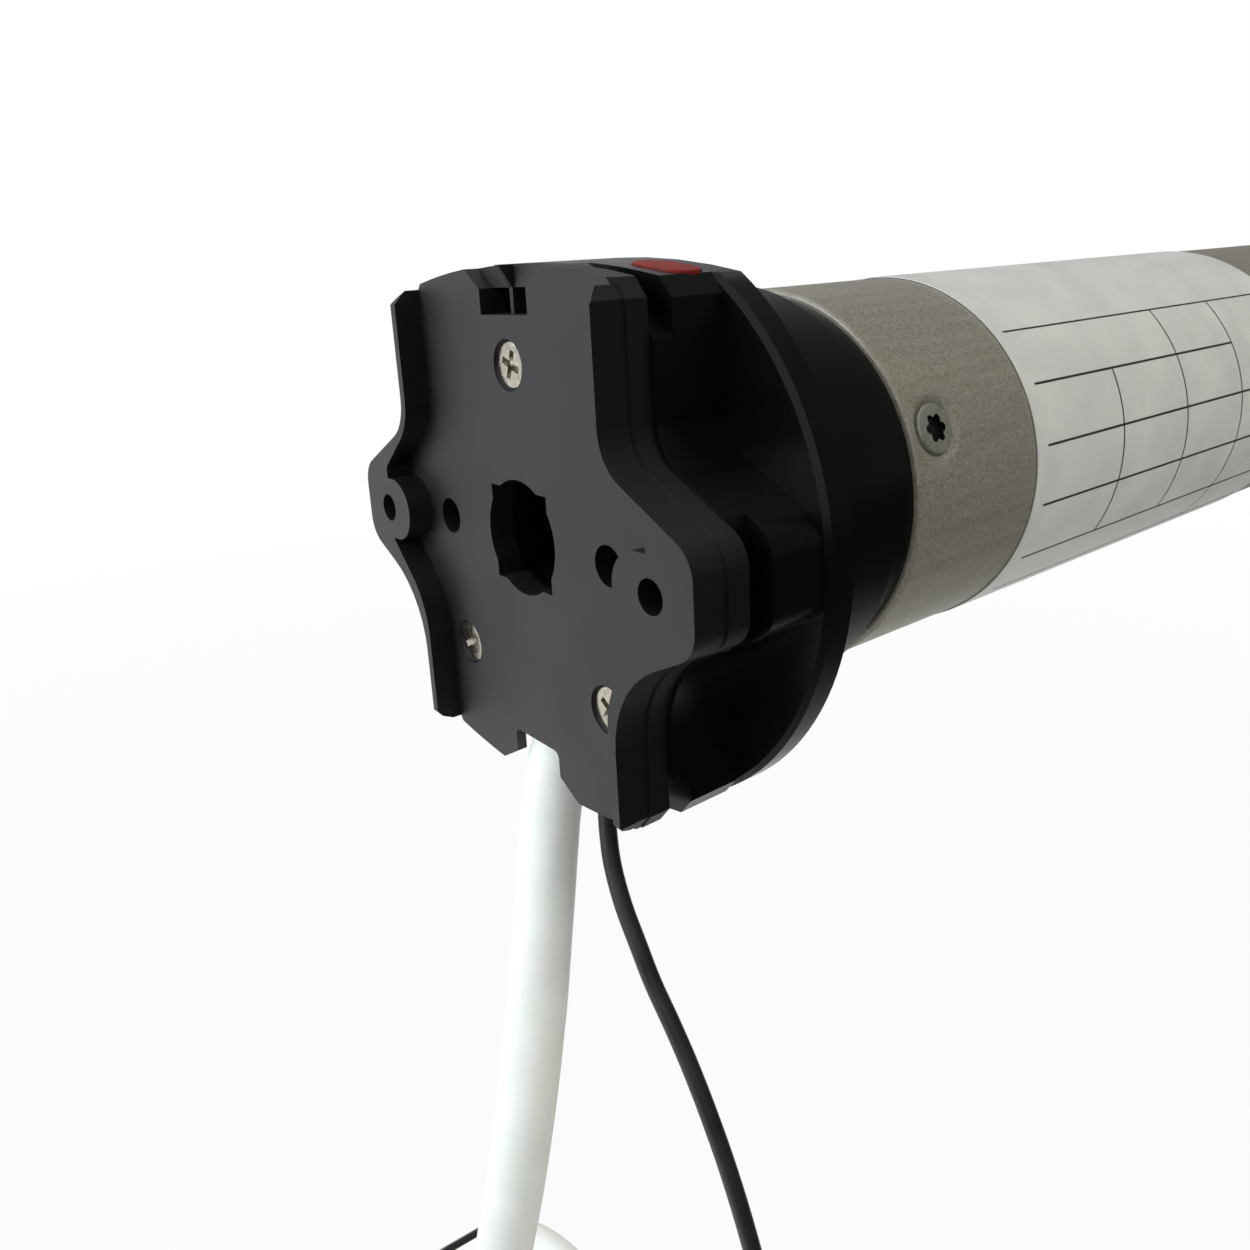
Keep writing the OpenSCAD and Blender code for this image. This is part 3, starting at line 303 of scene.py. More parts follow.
def makeCamera(sizes):
    bpy.ops.object.camera_add()
    camera = bpy.context.object
    camera.name = "photoCamera"
    camera.data.lens = sizes["lens"]
    camera.data.sensor_width = sizes["sensor"]
    camera.data.clip_start = sizes["nearest"]
    camera.data.clip_end = sizes["farthest"]
    camera.data.shift_x, camera.data.shift_y = sizes["shift"]
    camera.matrix_world = (
        Matrix.Translation(sizes["place"])
        @ Matrix.Rotation(math.radians(sizes["azimuth"]), 4, "Z")
        @ Matrix.Rotation(math.radians(90 - sizes["elevation"]), 4, "X")
        @ Matrix.Rotation(math.radians(sizes["roll"]), 4, "Z"))
    bpy.context.scene.camera = camera


makeCamera(cameraSizes)
print("camera placed")

# the mains lead with its put-away coil, and the aerial wire

leadSizes = {
    "diameter": 6.8, "glandX": 8.4, "glandY": 0.9, "glandTop": -14.5, "glandBottom": -18.5,
    "free": [
        (8.1, 1.05, -21.2), (7.5, 1.5, -24), (6.75, 1.85, -26.7), (6.05, 1.85, -29),
        (5.3, 1.6, -31.2), (4.6, 1.3, -33.3), (3.9, 0.85, -35.5), (3.25, 0.45, -37.6),
        (2.55, 0, -40), (1.75, -0.45, -42.7), (0.9, -0.95, -45.5), (0, -1.5, -48.5),
        (-1, -2.1, -51.7), (-2.1, -2.6, -55.2), (-3.6, -3.1, -60.5), (-5, -3.1, -66.5),
        (-6.1, -2.3, -73.5), (-6.7, -0.4, -81.5), (-6.6, 2.7, -90.5), (-5.9, 6.5, -99.5),
        (-4.8, 10.8, -108.5), (-3.6, 15.4, -117), (-2.6, 20.6, -125), (-2.1, 26.1, -131.5),
        (-2, 31.6, -136.4)],
    "coilRadius": 43.5, "coilPitch": 8.3, "coilStep": 7.6, "layers": 4, "turns": 5 / 3, "climb": 0.5,
    "startAngle": 60, "pointsPerTurn": 24,
}


def coilCentre(sizes, first):
    # a point on the coil's axis, level with the coil's first point
    angle = math.radians(sizes["startAngle"])
    return first - sizes["coilRadius"] * Vector((0, math.cos(angle), math.sin(angle)))


def coilPoints(sizes, first):
    # layers that wind in and out by turns, each climbing to the next on a part of a turn
    perLayer = sizes["turns"] + sizes["climb"]
    total = sizes["layers"] * sizes["turns"] + (sizes["layers"] - 1) * sizes["climb"]
    outer = sizes["coilRadius"]
    inner = outer - sizes["coilPitch"] * sizes["turns"]
    centre = coilCentre(sizes, first)
    count = math.ceil(total * sizes["pointsPerTurn"])
    points = []
    for i in range(count + 1):
        t = total * i / count
        layer = min(sizes["layers"] - 1, math.floor(t / perLayer + tiny))
        along = min(sizes["turns"], t - layer * perLayer)
        climb = max(0, t - layer * perLayer - sizes["turns"])
        inwards = layer % 2 == 0
        radius = outer - sizes["coilPitch"] * along if inwards else inner + sizes["coilPitch"] * along
        angle = math.radians(sizes["startAngle"]) - 2 * math.pi * t
        x = sizes["coilStep"] * (layer + climb / sizes["climb"])
        points.append(centre + Vector((x, radius * math.cos(angle), radius * math.sin(angle))))
    return points


def leadParts(sizes):
    # the points before the coil, those of the coil and the last one
    angle = math.radians(sizes["startAngle"])
    ahead = sizes["diameter"] * Vector((0, math.sin(angle), -math.cos(angle)))
    x, y = sizes["glandX"], sizes["glandY"]
    start = [Vector((x, y, sizes["glandTop"])), Vector((x, y, sizes["glandBottom"]))]
    free = [Vector(point) for point in sizes["free"]]
    joint = free[-1] + ahead
    coil = coilPoints(sizes, joint + ahead)
    return start + free + [joint], coil, [coil[-1] + Vector((0, 0, -sizes["diameter"]))]


cordDetail = {"round": 8, "along": 4}


def makeCord(name, points, diameter, material):
    # a round sheath on one smooth spline through the route's points
    curve = bpy.data.curves.new(name, "CURVE")
    curve.dimensions = "3D"
    curve.bevel_depth = diameter * mm / 2
    curve.bevel_resolution = cordDetail["round"]
    curve.resolution_u = cordDetail["along"]
    curve.use_fill_caps = True
    spline = curve.splines.new("BEZIER")
    spline.bezier_points.add(len(points) - 1)
    for i, knot in enumerate(spline.bezier_points):
        before, after = points[max(i - 1, 0)], points[min(i + 1, len(points) - 1)]
        way = (after - before).normalized() * mm
        knot.co = points[i] * mm
        knot.handle_left_type = knot.handle_right_type = "FREE"
        knot.handle_left = knot.co - way * (points[i] - before).length / 3
        knot.handle_right = knot.co + way * (after - points[i]).length / 3
    curve.materials.append(material)
    piece = bpy.data.objects.new(name, curve)
    bpy.context.scene.collection.objects.link(piece)
    return piece


def lengthOf(points):
    return sum((b - a).length for a, b in zip(points, points[1:])) * mm


whiteSheath = pvcSheath("whitePvcSheath", ("#e3e5dd", "#ecefe7"), 0.42, 0.45)
blackSheath = pvcSheath("blackPvcSheath", ("#1b1c1d", "#242526"), 0.36, 0.5)
wayDown, coilTurns, wayOut = leadParts(leadSizes)
route = wayDown + coilTurns + wayOut
mainsLead = makeCord("mainsLead", route, leadSizes["diameter"], whiteSheath)
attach(mainsLead, "housing")
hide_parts("mains_lead", "lead_coil")

aerialSizes = {
    "diameter": 2.0,
    "route": [
        (8, -5.2, -22), (8, -5.2, -25), (7.9, -5.2, -28.5), (7.7, -5.35, -32.5),
        (7.4, -6.2, -36.5), (7.2, -8, -40.5), (7.3, -10.2, -44.5), (7.6, -12, -48.3),
        (8, -14.2, -52), (8.4, -16.4, -56), (8.8, -18.8, -61), (9.2, -21.3, -67),
        (9.5, -23.8, -74), (9.7, -26.2, -82), (9.9, -28.4, -91), (10, -30.2, -101),
        (10, -31.5, -112), (10, -32.4, -124), (10, -32.9, -136), (10, -33.1, -148),
        (10, -33.2, -160), (10, -33.2, -172), (10, -33.2, -183)],
}
aerialRoute = [Vector(point) for point in aerialSizes["route"]]
aerial = makeCord("aerialWire", aerialRoute, aerialSizes["diameter"], blackSheath)
standFor(aerial, "aerial_wire")
print("lead", round(lengthOf(route), 3), "m, aerial", round(lengthOf(aerialRoute), 3), "m")

# the lead's three cores with their stripped ends

coreSizes = {
    "radius": 1.3, "ring": 1.6, "firstAngle": 30, "length": 42, "bare": 7, "conductor": 0.7,
    "gap": 0.05, "overlap": 0.01, "sides": 24, "edge": 0.2,
}


def makeCores(sizes, end):
    insulation = [
        pvcSheath("brownCoreInsulation", ("#5d3a20", "#6f4729"), 0.4, 0.4),
        pvcSheath("blueCoreInsulation", ("#1c4f9c", "#245cab"), 0.4, 0.4),
        pvcSheath("greenYellowCoreInsulation", ("#3c8a34", "#c9c22a"), 0.4, 0.4)]
    copper = satinMetal("strandedCopper", ("#b0683c", "#d08a58"), 0.3, (1, 1, 0.1), 0.2 * mm)
    top = end.z - sizes["gap"]
    parts = []
    for index, sheath in enumerate(insulation):
        angle = math.radians(360 / len(insulation) * index + sizes["firstAngle"])
        x = end.x + sizes["ring"] * math.cos(angle)
        y = end.y + sizes["ring"] * math.sin(angle)
        for high, long, radius, finish in (
                (top, sizes["length"], sizes["radius"], sheath),
                (top + sizes["overlap"] - sizes["length"], sizes["bare"], sizes["conductor"], copper)):
            bpy.ops.mesh.primitive_cylinder_add(
                vertices=sizes["sides"], radius=radius * mm, depth=long * mm,
                location=(x * mm, y * mm, (high - long / 2) * mm))
            part = settle(bpy.context.object)
            part.data.materials.append(finish)
            bevelEdges(part, sizes["edge"] * mm, 2)
            smoothByAngle(part)
            parts.append(part)
    return joinPieces(parts, "leadCores")


cores = makeCores(coreSizes, route[-1])
standFor(cores, "lead_cores")

# nylon ties drawn tight round the coil

tieSizes = {
    "angles": [42, -130], "width": 4.8, "thick": 1.2, "slack": 0.1, "sides": 120, "head": (7.5, 6.4, 4.6),
    "edge": 0.3, "edgesOver": 50,
}


def crossingsAt(points, centre, out, aside):
    # where the lead passes through the half plane that points outwards along out
    found = []
    for a, b in zip(points, points[1:]):
        da, db = (a - centre).dot(aside), (b - centre).dot(aside)
        if da * db < 0:
            at = a.lerp(b, da / (da - db)) - centre
            if at.dot(out) > 0:
                found.append((at.x, at.dot(out)))
    return found


def makeTie(sizes, lead, points, angle):
    centre = coilCentre(lead, points[0])
    turn = math.radians(angle)
    out = Vector((0, math.cos(turn), math.sin(turn)))
    aside = Vector((0, -out.z, out.y))
    crossings = crossingsAt(points, centre, out, aside)
    reach = lead["diameter"] / 2 + sizes["slack"]
    bpy.ops.mesh.primitive_cylinder_add(
        vertices=sizes["sides"], radius=1, depth=sizes["width"], end_fill_type="NOTHING")
    strap = bpy.context.object
    for vertex in strap.data.vertices:
        wayX, wayUp, wide = vertex.co
        x, radius = max(crossings, key=lambda c: c[0] * wayX + c[1] * wayUp)
        across = Vector((x + reach * wayX, 0, 0)) + out * (radius + reach * wayUp)
        vertex.co = (centre + across + aside * wide) * mm
    thicken(strap, sizes["thick"] * mm)
    places, depths = zip(*crossings)
    middle = (min(places) + max(places)) / 2
    inner = min(depths) - reach - sizes["head"][2] / 2
    bpy.ops.mesh.primitive_cube_add(size=1)
    head = bpy.context.object
    head.scale = [side * mm for side in sizes["head"]]
    head.rotation_euler = (turn - math.pi / 2, 0, 0)
    head.location = (centre + Vector((middle, 0, 0)) + out * inner) * mm
    tie = joinPieces([strap, settle(head)], "coilTie")
    bevelEdges(tie, sizes["edge"] * mm, 2, sizes["edgesOver"])
    smoothByAngle(tie)
    return tie


ties = joinPieces(
    [makeTie(tieSizes, leadSizes, coilTurns, angle) for angle in tieSizes["angles"]], "coilTies")
standFor(ties, "coil_ties", mouldedPlastic("blackTieNylon", ("#17181a", "#212326"), 0.45))

print("cords made")

# the head: matt moulded plastic, polished where the crown ring turns

headSizes = {"edge": 0.3, "segments": 3}
mattHead = mouldedPlastic("sparkErodedPolyamide", ("#0b0c0d", "#0f1011"), 0.5)
glossHead = mouldedPlastic("polishedPolyamide", ("#060707", "#090a0a"), 0.24, 0.26, 1.2 * mm, 0.03)
for node, name, material in (("head_cover", "headCover", mattHead), ("head_body", "headBody", glossHead)):
    copyWithEdges(node, name, headSizes["edge"], headSizes["segments"], material)
print("head made")

# cross-recessed screws of the cover

coverScrewSizes = {
    "places": [(0, 17.4), (13, -14.75), (-13, -14.75)], "turns": [20, 62, 35],
    "top": 3.32, "under": 4.0, "head": 2.42, "round": 0.3, "roundSteps": 4, "sides": 64,
    "slotLong": 1.65, "slotWide": 0.4, "slotDeep": 1.15, "slotRise": 0.25, "slotEnd": (0.42, 0.45),
    "shank": 1.2, "end": 11, "overlap": 0.01, "shankSides": 32, "smoothUnder": 28,
}


def rod(radius, start, end, sides, place):
    # a cylinder along X, with its axis at place in Y and Z
    bpy.ops.mesh.primitive_cylinder_add(
        vertices=sides, radius=radius * mm, depth=(end - start) * mm, rotation=(0, math.pi / 2, 0),
        location=((start + end) / 2 * mm, place[0] * mm, place[1] * mm))
    return settle(bpy.context.object)


def crossCutter(sizes, place, turn):
    # two blades that taper inwards, as their driver does
    rise, deep = sizes["slotRise"], sizes["slotDeep"]
    blades = []
    for quarter in (0, 90):
        bpy.ops.mesh.primitive_cube_add(size=1)
        blade = bpy.context.object
        blade.scale = ((rise + deep) * mm, 2 * sizes["slotLong"] * mm, 2 * sizes["slotWide"] * mm)
        blade.location = ((deep - rise) / 2 * mm, 0, 0)
        settle(blade)
        for vertex in blade.data.vertices:
            if vertex.co.x > 0:
                vertex.co.y *= sizes["slotEnd"][0]
                vertex.co.z *= sizes["slotEnd"][1]
        blade.rotation_euler = (math.radians(turn + quarter), 0, 0)
        blade.location = (sizes["top"] * mm, place[0] * mm, place[1] * mm)
        blades.append(settle(blade))
    return blades


def makeCoverScrew(sizes, place, turn):
    screw = rod(sizes["head"], sizes["top"], sizes["under"], sizes["sides"], place)
    selectFaces(screw, lambda face: face.normal.x < -0.9)
    inEditMode(screw, lambda: bpy.ops.mesh.bevel(
        offset=sizes["round"] * mm, segments=sizes["roundSteps"], affect="EDGES"))
    cutWith(screw, crossCutter(sizes, place, turn))
    smoothByAngle(screw, sizes["smoothUnder"])
    shank = rod(sizes["shank"], sizes["under"] - sizes["overlap"], sizes["end"], sizes["shankSides"], place)
    return joinPieces([screw, shank], "coverScrew")


coverScrews = joinPieces(
    [makeCoverScrew(coverScrewSizes, place, turn)
     for place, turn in zip(coverScrewSizes["places"], coverScrewSizes["turns"])], "coverScrews")
standFor(coverScrews, "cover_screws", satinMetal(
    "brightNickelPlate", ("#a39e93", "#c6c1b5"), 0.24, grain=0.6 * mm))
print("cover screws made")

# six-lobe screws in the tube's dimples

tubeScrewSizes = {
    "rings": [(42.3, 20), (433.4, 45)], "count": 3, "tubeRadius": 22.5, "head": 2.78, "sink": 0.12,
    "thick": 0.85, "edge": 0.3, "edgeSteps": 3, "edgesOver": 60, "sides": 64, "smoothUnder": 28,
    "lobes": 6, "lobeRing": 1.12, "lobeRadius": 0.5, "hole": 1.22, "deep": 0.62, "lobeSides": 24, "rim": 0.02,
    "coneEnd": 1.4, "coneLong": 1.2, "overlap": 0.02,
}


def rodAlongY(radius, long, sides, x, y, z):
    bpy.ops.mesh.primitive_cylinder_add(
        vertices=sides, radius=radius * mm, depth=long * mm, rotation=(math.pi / 2, 0, 0),
        location=(x * mm, y * mm, z * mm))
    return settle(bpy.context.object)


def makeTubeScrew(sizes, finishes):
    # built at the origin with its head facing -Y, to be turned round the tube
    top = sizes["sink"] - sizes["tubeRadius"]
    screw = rodAlongY(sizes["head"], sizes["thick"], sizes["sides"], 0, top + sizes["thick"] / 2, 0)
    bevelEdges(screw, sizes["edge"] * mm, sizes["edgeSteps"], sizes["edgesOver"])
    cutters = []
    for lobe in range(sizes["lobes"]):
        turn = 2 * math.pi / sizes["lobes"] * lobe
        x, z = sizes["lobeRing"] * math.cos(turn), sizes["lobeRing"] * math.sin(turn)
        cutters.append(rodAlongY(sizes["lobeRadius"], 2 * sizes["deep"], sizes["lobeSides"], x, top, z))
    cutters.append(rodAlongY(sizes["hole"], 2 * sizes["deep"], sizes["lobeSides"], 0, top, 0))
    cutWith(screw, cutters)
    for finish in finishes:
        screw.data.materials.append(finish)
    # faces down in the recess get the second finish, a dark painted shade standing in for the shadow inside
    # it
    recess = (sizes["lobeRing"] + sizes["lobeRadius"]) * mm
    for face in screw.data.polygons:
        inside = math.hypot(face.center.x, face.center.z) < recess
        face.material_index = int(inside and face.center.y > (top + sizes["rim"]) * mm)
    smoothByAngle(screw, sizes["smoothUnder"])
    under = top + sizes["thick"] + sizes["coneLong"] / 2 - sizes["overlap"]
    bpy.ops.mesh.primitive_cone_add(
        vertices=sizes["sides"], radius1=sizes["head"] * mm, radius2=sizes["coneEnd"] * mm,
        depth=sizes["coneLong"] * mm, rotation=(-math.pi / 2, 0, 0), location=(0, under * mm, 0))
    return joinPieces([screw, settle(bpy.context.object)], "tubeScrew")


def screwSpots(sizes):
    # where the screws sit: along X, and in degrees round the tube from -Y
    step = 360 / sizes["count"]
    return [(x, first + step * k) for x, first in sizes["rings"] for k in range(sizes["count"])]


def makeTubeScrews(sizes, finishes):
    screw = makeTubeScrew(sizes, finishes)
    screws = []
    for x, angle in screwSpots(sizes):
        copy = ownCopy(screw)
        copy.rotation_euler = (-math.radians(angle), 0, 0)
        copy.location = (x * mm, 0, 0)
        screws.append(settle(copy))
    bpy.data.objects.remove(screw, do_unlink=True)
    return joinPieces(screws, "tubeScrews")


stainless = satinMetal("tumbledStainless", ("#8e9085", "#a5a79b"), 0.34, grain=0.5 * mm, metallic=0.6)
# painted shade: a dark finish for the recesses of the screw heads, in place of the shadow that falls there
recessPaintedShade = satinMetal("recessPaintedShade", ("#1b1a18", "#2c2a27"), 0.3, grain=0.5 * mm, metallic=0.6)
standFor(makeTubeScrews(tubeScrewSizes, [stainless, recessPaintedShade]), "tube_screws")
print("tube screws made")

# the tube, its label and the label's rules

paintLook = {
    "tints": ("#878375", "#a19e90"), "roughness": 0.39, "uneven": 0.05,
    "flake": 0.17 * mm, "flakeShare": 0.55, "flakeBump": 0.16, "flakeDepth": 0.012 * mm,
    "lines": 1.4 * mm, "lineStretch": (0.06, 1, 1), "lineShare": 0.45, "lineDetail": 3.0,
}


def metallicPaint(name, look):
    # a baked champagne paint: tiny flakes that flash one by one, over steel drawn along its length
    material, tree, shader, place = startMaterial(name, {
        "Metallic": 0.4, "Coat Weight": 0.05, "Coat Roughness": 0.2})
    flakes = addNode(tree, "ShaderNodeTexVoronoi", {"Vector": place, "Scale": 1 / look["flake"]})
    flash = addNode(tree, "ShaderNodeSeparateColor", {"Color": flakes.outputs["Color"]}).outputs["Red"]
    drawn = addNode(tree, "ShaderNodeMapping", {
        "Vector": place, "Scale": look["lineStretch"]}).outputs["Vector"]
    lines = grainAt(tree, drawn, look["lines"], look["lineDetail"])
    share = addNode(tree, "ShaderNodeMath", {
        0: flash, 1: look["flakeShare"]}, operation="MULTIPLY").outputs[0]
    mixed = addNode(tree, "ShaderNodeMath", {
        0: lines, 1: look["lineShare"], 2: share}, operation="MULTIPLY_ADD").outputs[0]
    tintAndRoughen(tree, shader, mixed, look["tints"], look["roughness"], look["uneven"])
    bumpFrom(tree, shader, flash, look["flakeBump"], look["flakeDepth"])
    return material


tubeSizes = {
    "ends": (37.7, 442), "radius": 22.5, "bore": 21.5, "rolled": 0.5, "rollSteps": 6,
    "dent": 3.95, "flat": 2.3, "deep": 0.8, "margin": 0.3,
    "fine": 0.2, "coarseAlong": 3.0, "coarseTurn": 2.0, "merge": 0.005,
}


def finely(low, high, near, reach, fine, coarse):
    # places from low to high, close together round some of them
    places = [low]
    while places[-1] < high - tiny:
        close = any(abs(places[-1] - spot) < reach for spot in near)
        places.append(min(high, places[-1] + (fine if close else coarse)))
    return places


def dentDepth(sizes, away):
    # a pressed dimple: flat under the screw, with a soft lip
    share = min(1, max(0, (away - sizes["flat"]) / (sizes["dent"] - sizes["flat"])))
    return sizes["deep"] * (1 - share * share * (3 - 2 * share))


def makeTube(sizes, spots):
    # one grid wrapped round the outside, over the rolled ends and back along the bore
    start, end = sizes["ends"]
    radius, rolled, bore = sizes["radius"], sizes["rolled"], sizes["bore"]
    reach = sizes["dent"] + sizes["margin"]
    arc = [math.pi / 2 / sizes["rollSteps"] * k for k in range(1, sizes["rollSteps"] + 1)]
    roll = [(rolled * (1 - math.sin(a)), radius - rolled * (1 - math.cos(a))) for a in arc]
    along = finely(
        start + rolled, end - rolled, [x for x, angle in spots], reach, sizes["fine"], sizes["coarseAlong"])
    rows = [(start, bore)] + [(start + inset, out) for inset, out in reversed(roll)]
    rows += [(x, radius) for x in along]
    rows += [(end - inset, out) for inset, out in roll] + [(end, bore), (start, bore)]
    columns = finely(
        0, 360, [angle for x, angle in spots], math.degrees(reach / radius),
        math.degrees(sizes["fine"] / radius), sizes["coarseTurn"])
    bpy.ops.mesh.primitive_grid_add(x_subdivisions=len(rows) - 1, y_subdivisions=len(columns) - 1, size=2)
    tube = settle(bpy.context.object)
    tube.name = "motorTube"
    for vertex in tube.data.vertices:
        x, out = rows[round((vertex.co.x + 1) / 2 * (len(rows) - 1))]
        angle = columns[round((vertex.co.y + 1) / 2 * (len(columns) - 1))]
        if out == radius:
            for spotX, spotAngle in spots:
                aside = math.radians((angle - spotAngle + 180) % 360 - 180) * radius
                out -= dentDepth(sizes, math.hypot(x - spotX, aside))
        bend = math.radians(angle)
        vertex.co = (x * mm, -out * math.cos(bend) * mm, out * math.sin(bend) * mm)
    mergeAndFace(tube, sizes["merge"] * mm)
    smoothByAngle(tube)
    return tube


tube = makeTube(tubeSizes, screwSpots(tubeScrewSizes))
print("tube faces:", len(tube.data.polygons))
standFor(tube, "motor_tube", metallicPaint("bakedMetallicPaint", paintLook))

# levels are (degrees above -Y, from, to) and posts (place along X, from, to in degrees)
labelSizes = {
    "radius": 22.58, "from": 59.8, "to": 135.8, "low": -77, "high": 133, "thick": 0.12, "filmSides": 360,
    "levels": [
        (44.3, 61.7, 134), (26, 62, 114), (7.4, 62, 134), (-11, 62, 134), (-30.5, 62.5, 134),
        (-47.6, 63.5, 134)],
    "posts": [(79.7, -30.5, 26), (97, -30.5, 44.3), (114, -47.6, 44.3)],
    "line": 0.27, "lineRise": 0.02, "levelSides": 2880, "postSides": 720,
}


def arcPiece(name, radius, start, end, low, high, sides):
    # a strip of a cylinder along X, between two angles above the -Y side
    bpy.ops.mesh.primitive_cylinder_add(
        vertices=sides, radius=radius * mm, depth=(end - start) * mm, end_fill_type="NOTHING",
        location=((start + end) / 2 * mm, 0, 0), rotation=(0, math.pi / 2, 0))
    piece = settle(bpy.context.object)
    piece.name = name

    def outside(face):
        return not low <= math.degrees(math.atan2(face.center.z, -face.center.y)) <= high
    selectFaces(piece, outside)
    inEditMode(piece, lambda: bpy.ops.mesh.delete(type="FACE"))
    return piece


def makeLabel(sizes):
    film = arcPiece(
        "ratingLabel", sizes["radius"], sizes["from"], sizes["to"], sizes["low"], sizes["high"],
        sizes["filmSides"])
    thicken(film, sizes["thick"] * mm)
    smoothByAngle(film)
    return film


def makeRules(sizes):
    radius = sizes["radius"] + sizes["thick"] + sizes["lineRise"]
    half = sizes["line"] / 2
    turn = math.degrees(half / radius)
    strips = [
        arcPiece("rule", radius, start, end, angle - turn, angle + turn, sizes["levelSides"])
        for angle, start, end in sizes["levels"]]
    strips += [
        arcPiece("rule", radius, x - half, x + half, low, high, sizes["postSides"])
        for x, low, high in sizes["posts"]]
    rules = joinPieces(strips, "labelRules")
    smoothByAngle(rules)
    return rules


filmLook = {
    "tints": ("#cacdc7", "#d5d8d1"), "roughness": 0.34, "uneven": 0.04,
    "mottle": 6 * mm, "mottleDetail": 3.0, "fine": 0.5 * mm, "bump": 0.05, "fineDepth": 0.02 * mm,
}


def labelFilm(name, look):
    # silvery white polyester film: satin, with a faint mottle where it lies on the paint
    material, tree, shader, place = startMaterial(name, {"IOR": 1.5, "Metallic": 0.08})
    mottle = grainAt(tree, place, look["mottle"], look["mottleDetail"])
    tintAndRoughen(tree, shader, mottle, look["tints"], look["roughness"], look["uneven"])
    bumpFrom(tree, shader, grainAt(tree, place, look["fine"]), look["bump"], look["fineDepth"])
    return material


standFor(makeLabel(labelSizes), "rating_label", labelFilm("polyesterLabelFilm", filmLook))
rules = makeRules(labelSizes)
rules.data.materials.append(mouldedPlastic("printedRuleInk", ("#26282a", "#303234"), 0.4))
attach(rules, "housing")
print("tube and label made")

# the programming button

buttonSizes = {"edge": 0.25, "segments": 3}
acetalLook = {"tints": ("#6a150c", "#7a1d10"), "roughness": 0.5, "uneven": 0.05, "mottle": 2 * mm}


def translucentPlastic(name, look):
    # tinted acetal: light soaks in and comes back red, under a smooth skin
    material, tree, shader, place = startMaterial(name, {
        "IOR": 1.48, "Specular IOR Level": 0.25, "Subsurface Weight": 0.5,
        "Subsurface Scale": 1.2 * mm, "Subsurface Radius": (1.0, 0.25, 0.12)})
    mottle = grainAt(tree, place, look["mottle"])
    tintAndRoughen(tree, shader, mottle, look["tints"], look["roughness"], look["uneven"])
    return material


copyWithEdges(
    "program_button", "programButton", buttonSizes["edge"], buttonSizes["segments"],
    translucentPlastic("tintedAcetal", acetalLook))
print("button made")

# the drive end

shaftSteel = satinMetal("turnedSteel", ("#8f9295", "#b1b4b7"), 0.3, (1, 0.12, 0.12), 0.5 * mm)
endPlastic = mouldedPlastic("endCapPolyamide", ("#17181a", "#1e2022"), 0.5)
bronze = satinMetal("sinteredBronze", ("#8a6434", "#a67c46"), 0.45)
springSteel = satinMetal("blackenedSpringSteel", ("#2b2d2f", "#3d4043"), 0.35)
driveEnd = [
    ("end_cap", "endCap", 0.35, 3, endPlastic),
    ("output_shaft", "outputShaft", 0.3, 3, shaftSteel),
    ("shaft_ring", "shaftRing", 0.12, 2, springSteel),
    ("output_bush", "outputBush", 0.2, 2, bronze),
]
for node, name, edge, segments, material in driveEnd:
    copyWithEdges(node, name, edge, segments, material)
print("drive end made")

# the pieces inside keep their CAD shapes and get their own finishes

innerFinishes = {
    "black_rubber": mouldedPlastic("mouldedRubber", ("#131415", "#1b1c1d"), 0.7, 0.3),
    "circuit_board": mouldedPlastic("solderMask", ("#14512f", "#1d6b40"), 0.35),
    "core_sheath": pvcSheath("coreInsulation", ("#4a4038", "#5c5046"), 0.4, 0.4),
    "pale_plastic": mouldedPlastic("naturalPolyamide", ("#c4bda6", "#d6d0bb"), 0.5),
    "grey_plastic": mouldedPlastic("trayPolyamide", ("#3d4043", "#4b4f53"), 0.5),
    "relay_plastic": mouldedPlastic("relayCase", ("#2356a0", "#2f68b8"), 0.3),
    "transformer_tape": mouldedPlastic("windingTape", ("#a8791c", "#c49330"), 0.4),
    "can_aluminium": satinMetal("drawnAluminium", ("#b4b6b8", "#d2d4d6"), 0.35, (0.1, 1, 1), 0.6 * mm),
    "magnet": satinMetal("sinteredFerrite", ("#3a3c3f", "#4c4f53"), 0.6, metallic=0.3),
    "cast_alloy": satinMetal("dieCastAlloy", ("#8d9093", "#a9acaf"), 0.5, grain=0.8 * mm),
    "bearing_steel": satinMetal("groundBearingSteel", ("#b9bcbf", "#d5d8da"), 0.2, (1, 0.2, 0.2)),
    "lamination": satinMetal(
        "stackedElectricalSteel", ("#565a5e", "#777c81"), 0.45, (6, 0.2, 0.2), 0.5 * mm),
    "winding": satinMetal("enamelledCopper", ("#a4552a", "#c87840"), 0.3, (0.3, 3, 3), 0.6 * mm),
    "shaft_steel": shaftSteel,
    "brake_lining": mouldedPlastic("frictionLining", ("#5a4a3a", "#6f5e4c"), 0.8, 0.3),
    "gear_plastic": mouldedPlastic("mouldedAcetal", ("#d9d2bd", "#e9e3d1"), 0.35),
    "gear_steel": satinMetal("sinteredGearSteel", ("#8d8778", "#a8a292"), 0.45),
}


def dressInnerNodes(finishes):
    shown = {node: piece for node, piece in frame["nodes"].items() if not piece.hide_render}
    for node, piece in shown.items():
        piece.data.materials.clear()
        piece.data.materials.append(finishes[slotOfNode[node]])
    return len(shown)


print("inner pieces dressed:", dressInnerNodes(innerFinishes))

# floor, backdrop and studio light

studioSizes = {
    "floorDrop": 6 * mm, "floorX": 0.2, "floorSize": 8.0, "floorShare": 0.88, "fadeFrom": 0.25, "fadeTo": 1.1,
    "floorTint": "#dcdcda", "mirroredTint": "#fbfbf8", "roomTint": "#fbfcff",
    "roomSide": (-0.9, 0.4, 0.15), "roomDark": 0.12, "roomLight": 0.95, "roomSoft": 0.8,
    "paperSide": (-0.25, 1, 0), "paperDark": 0.03, "paperLight": 1.15, "paperSoft": 0.3,
    "lampTarget": (0.03, 0, 0),
}
white = (1, 1, 1, 1)


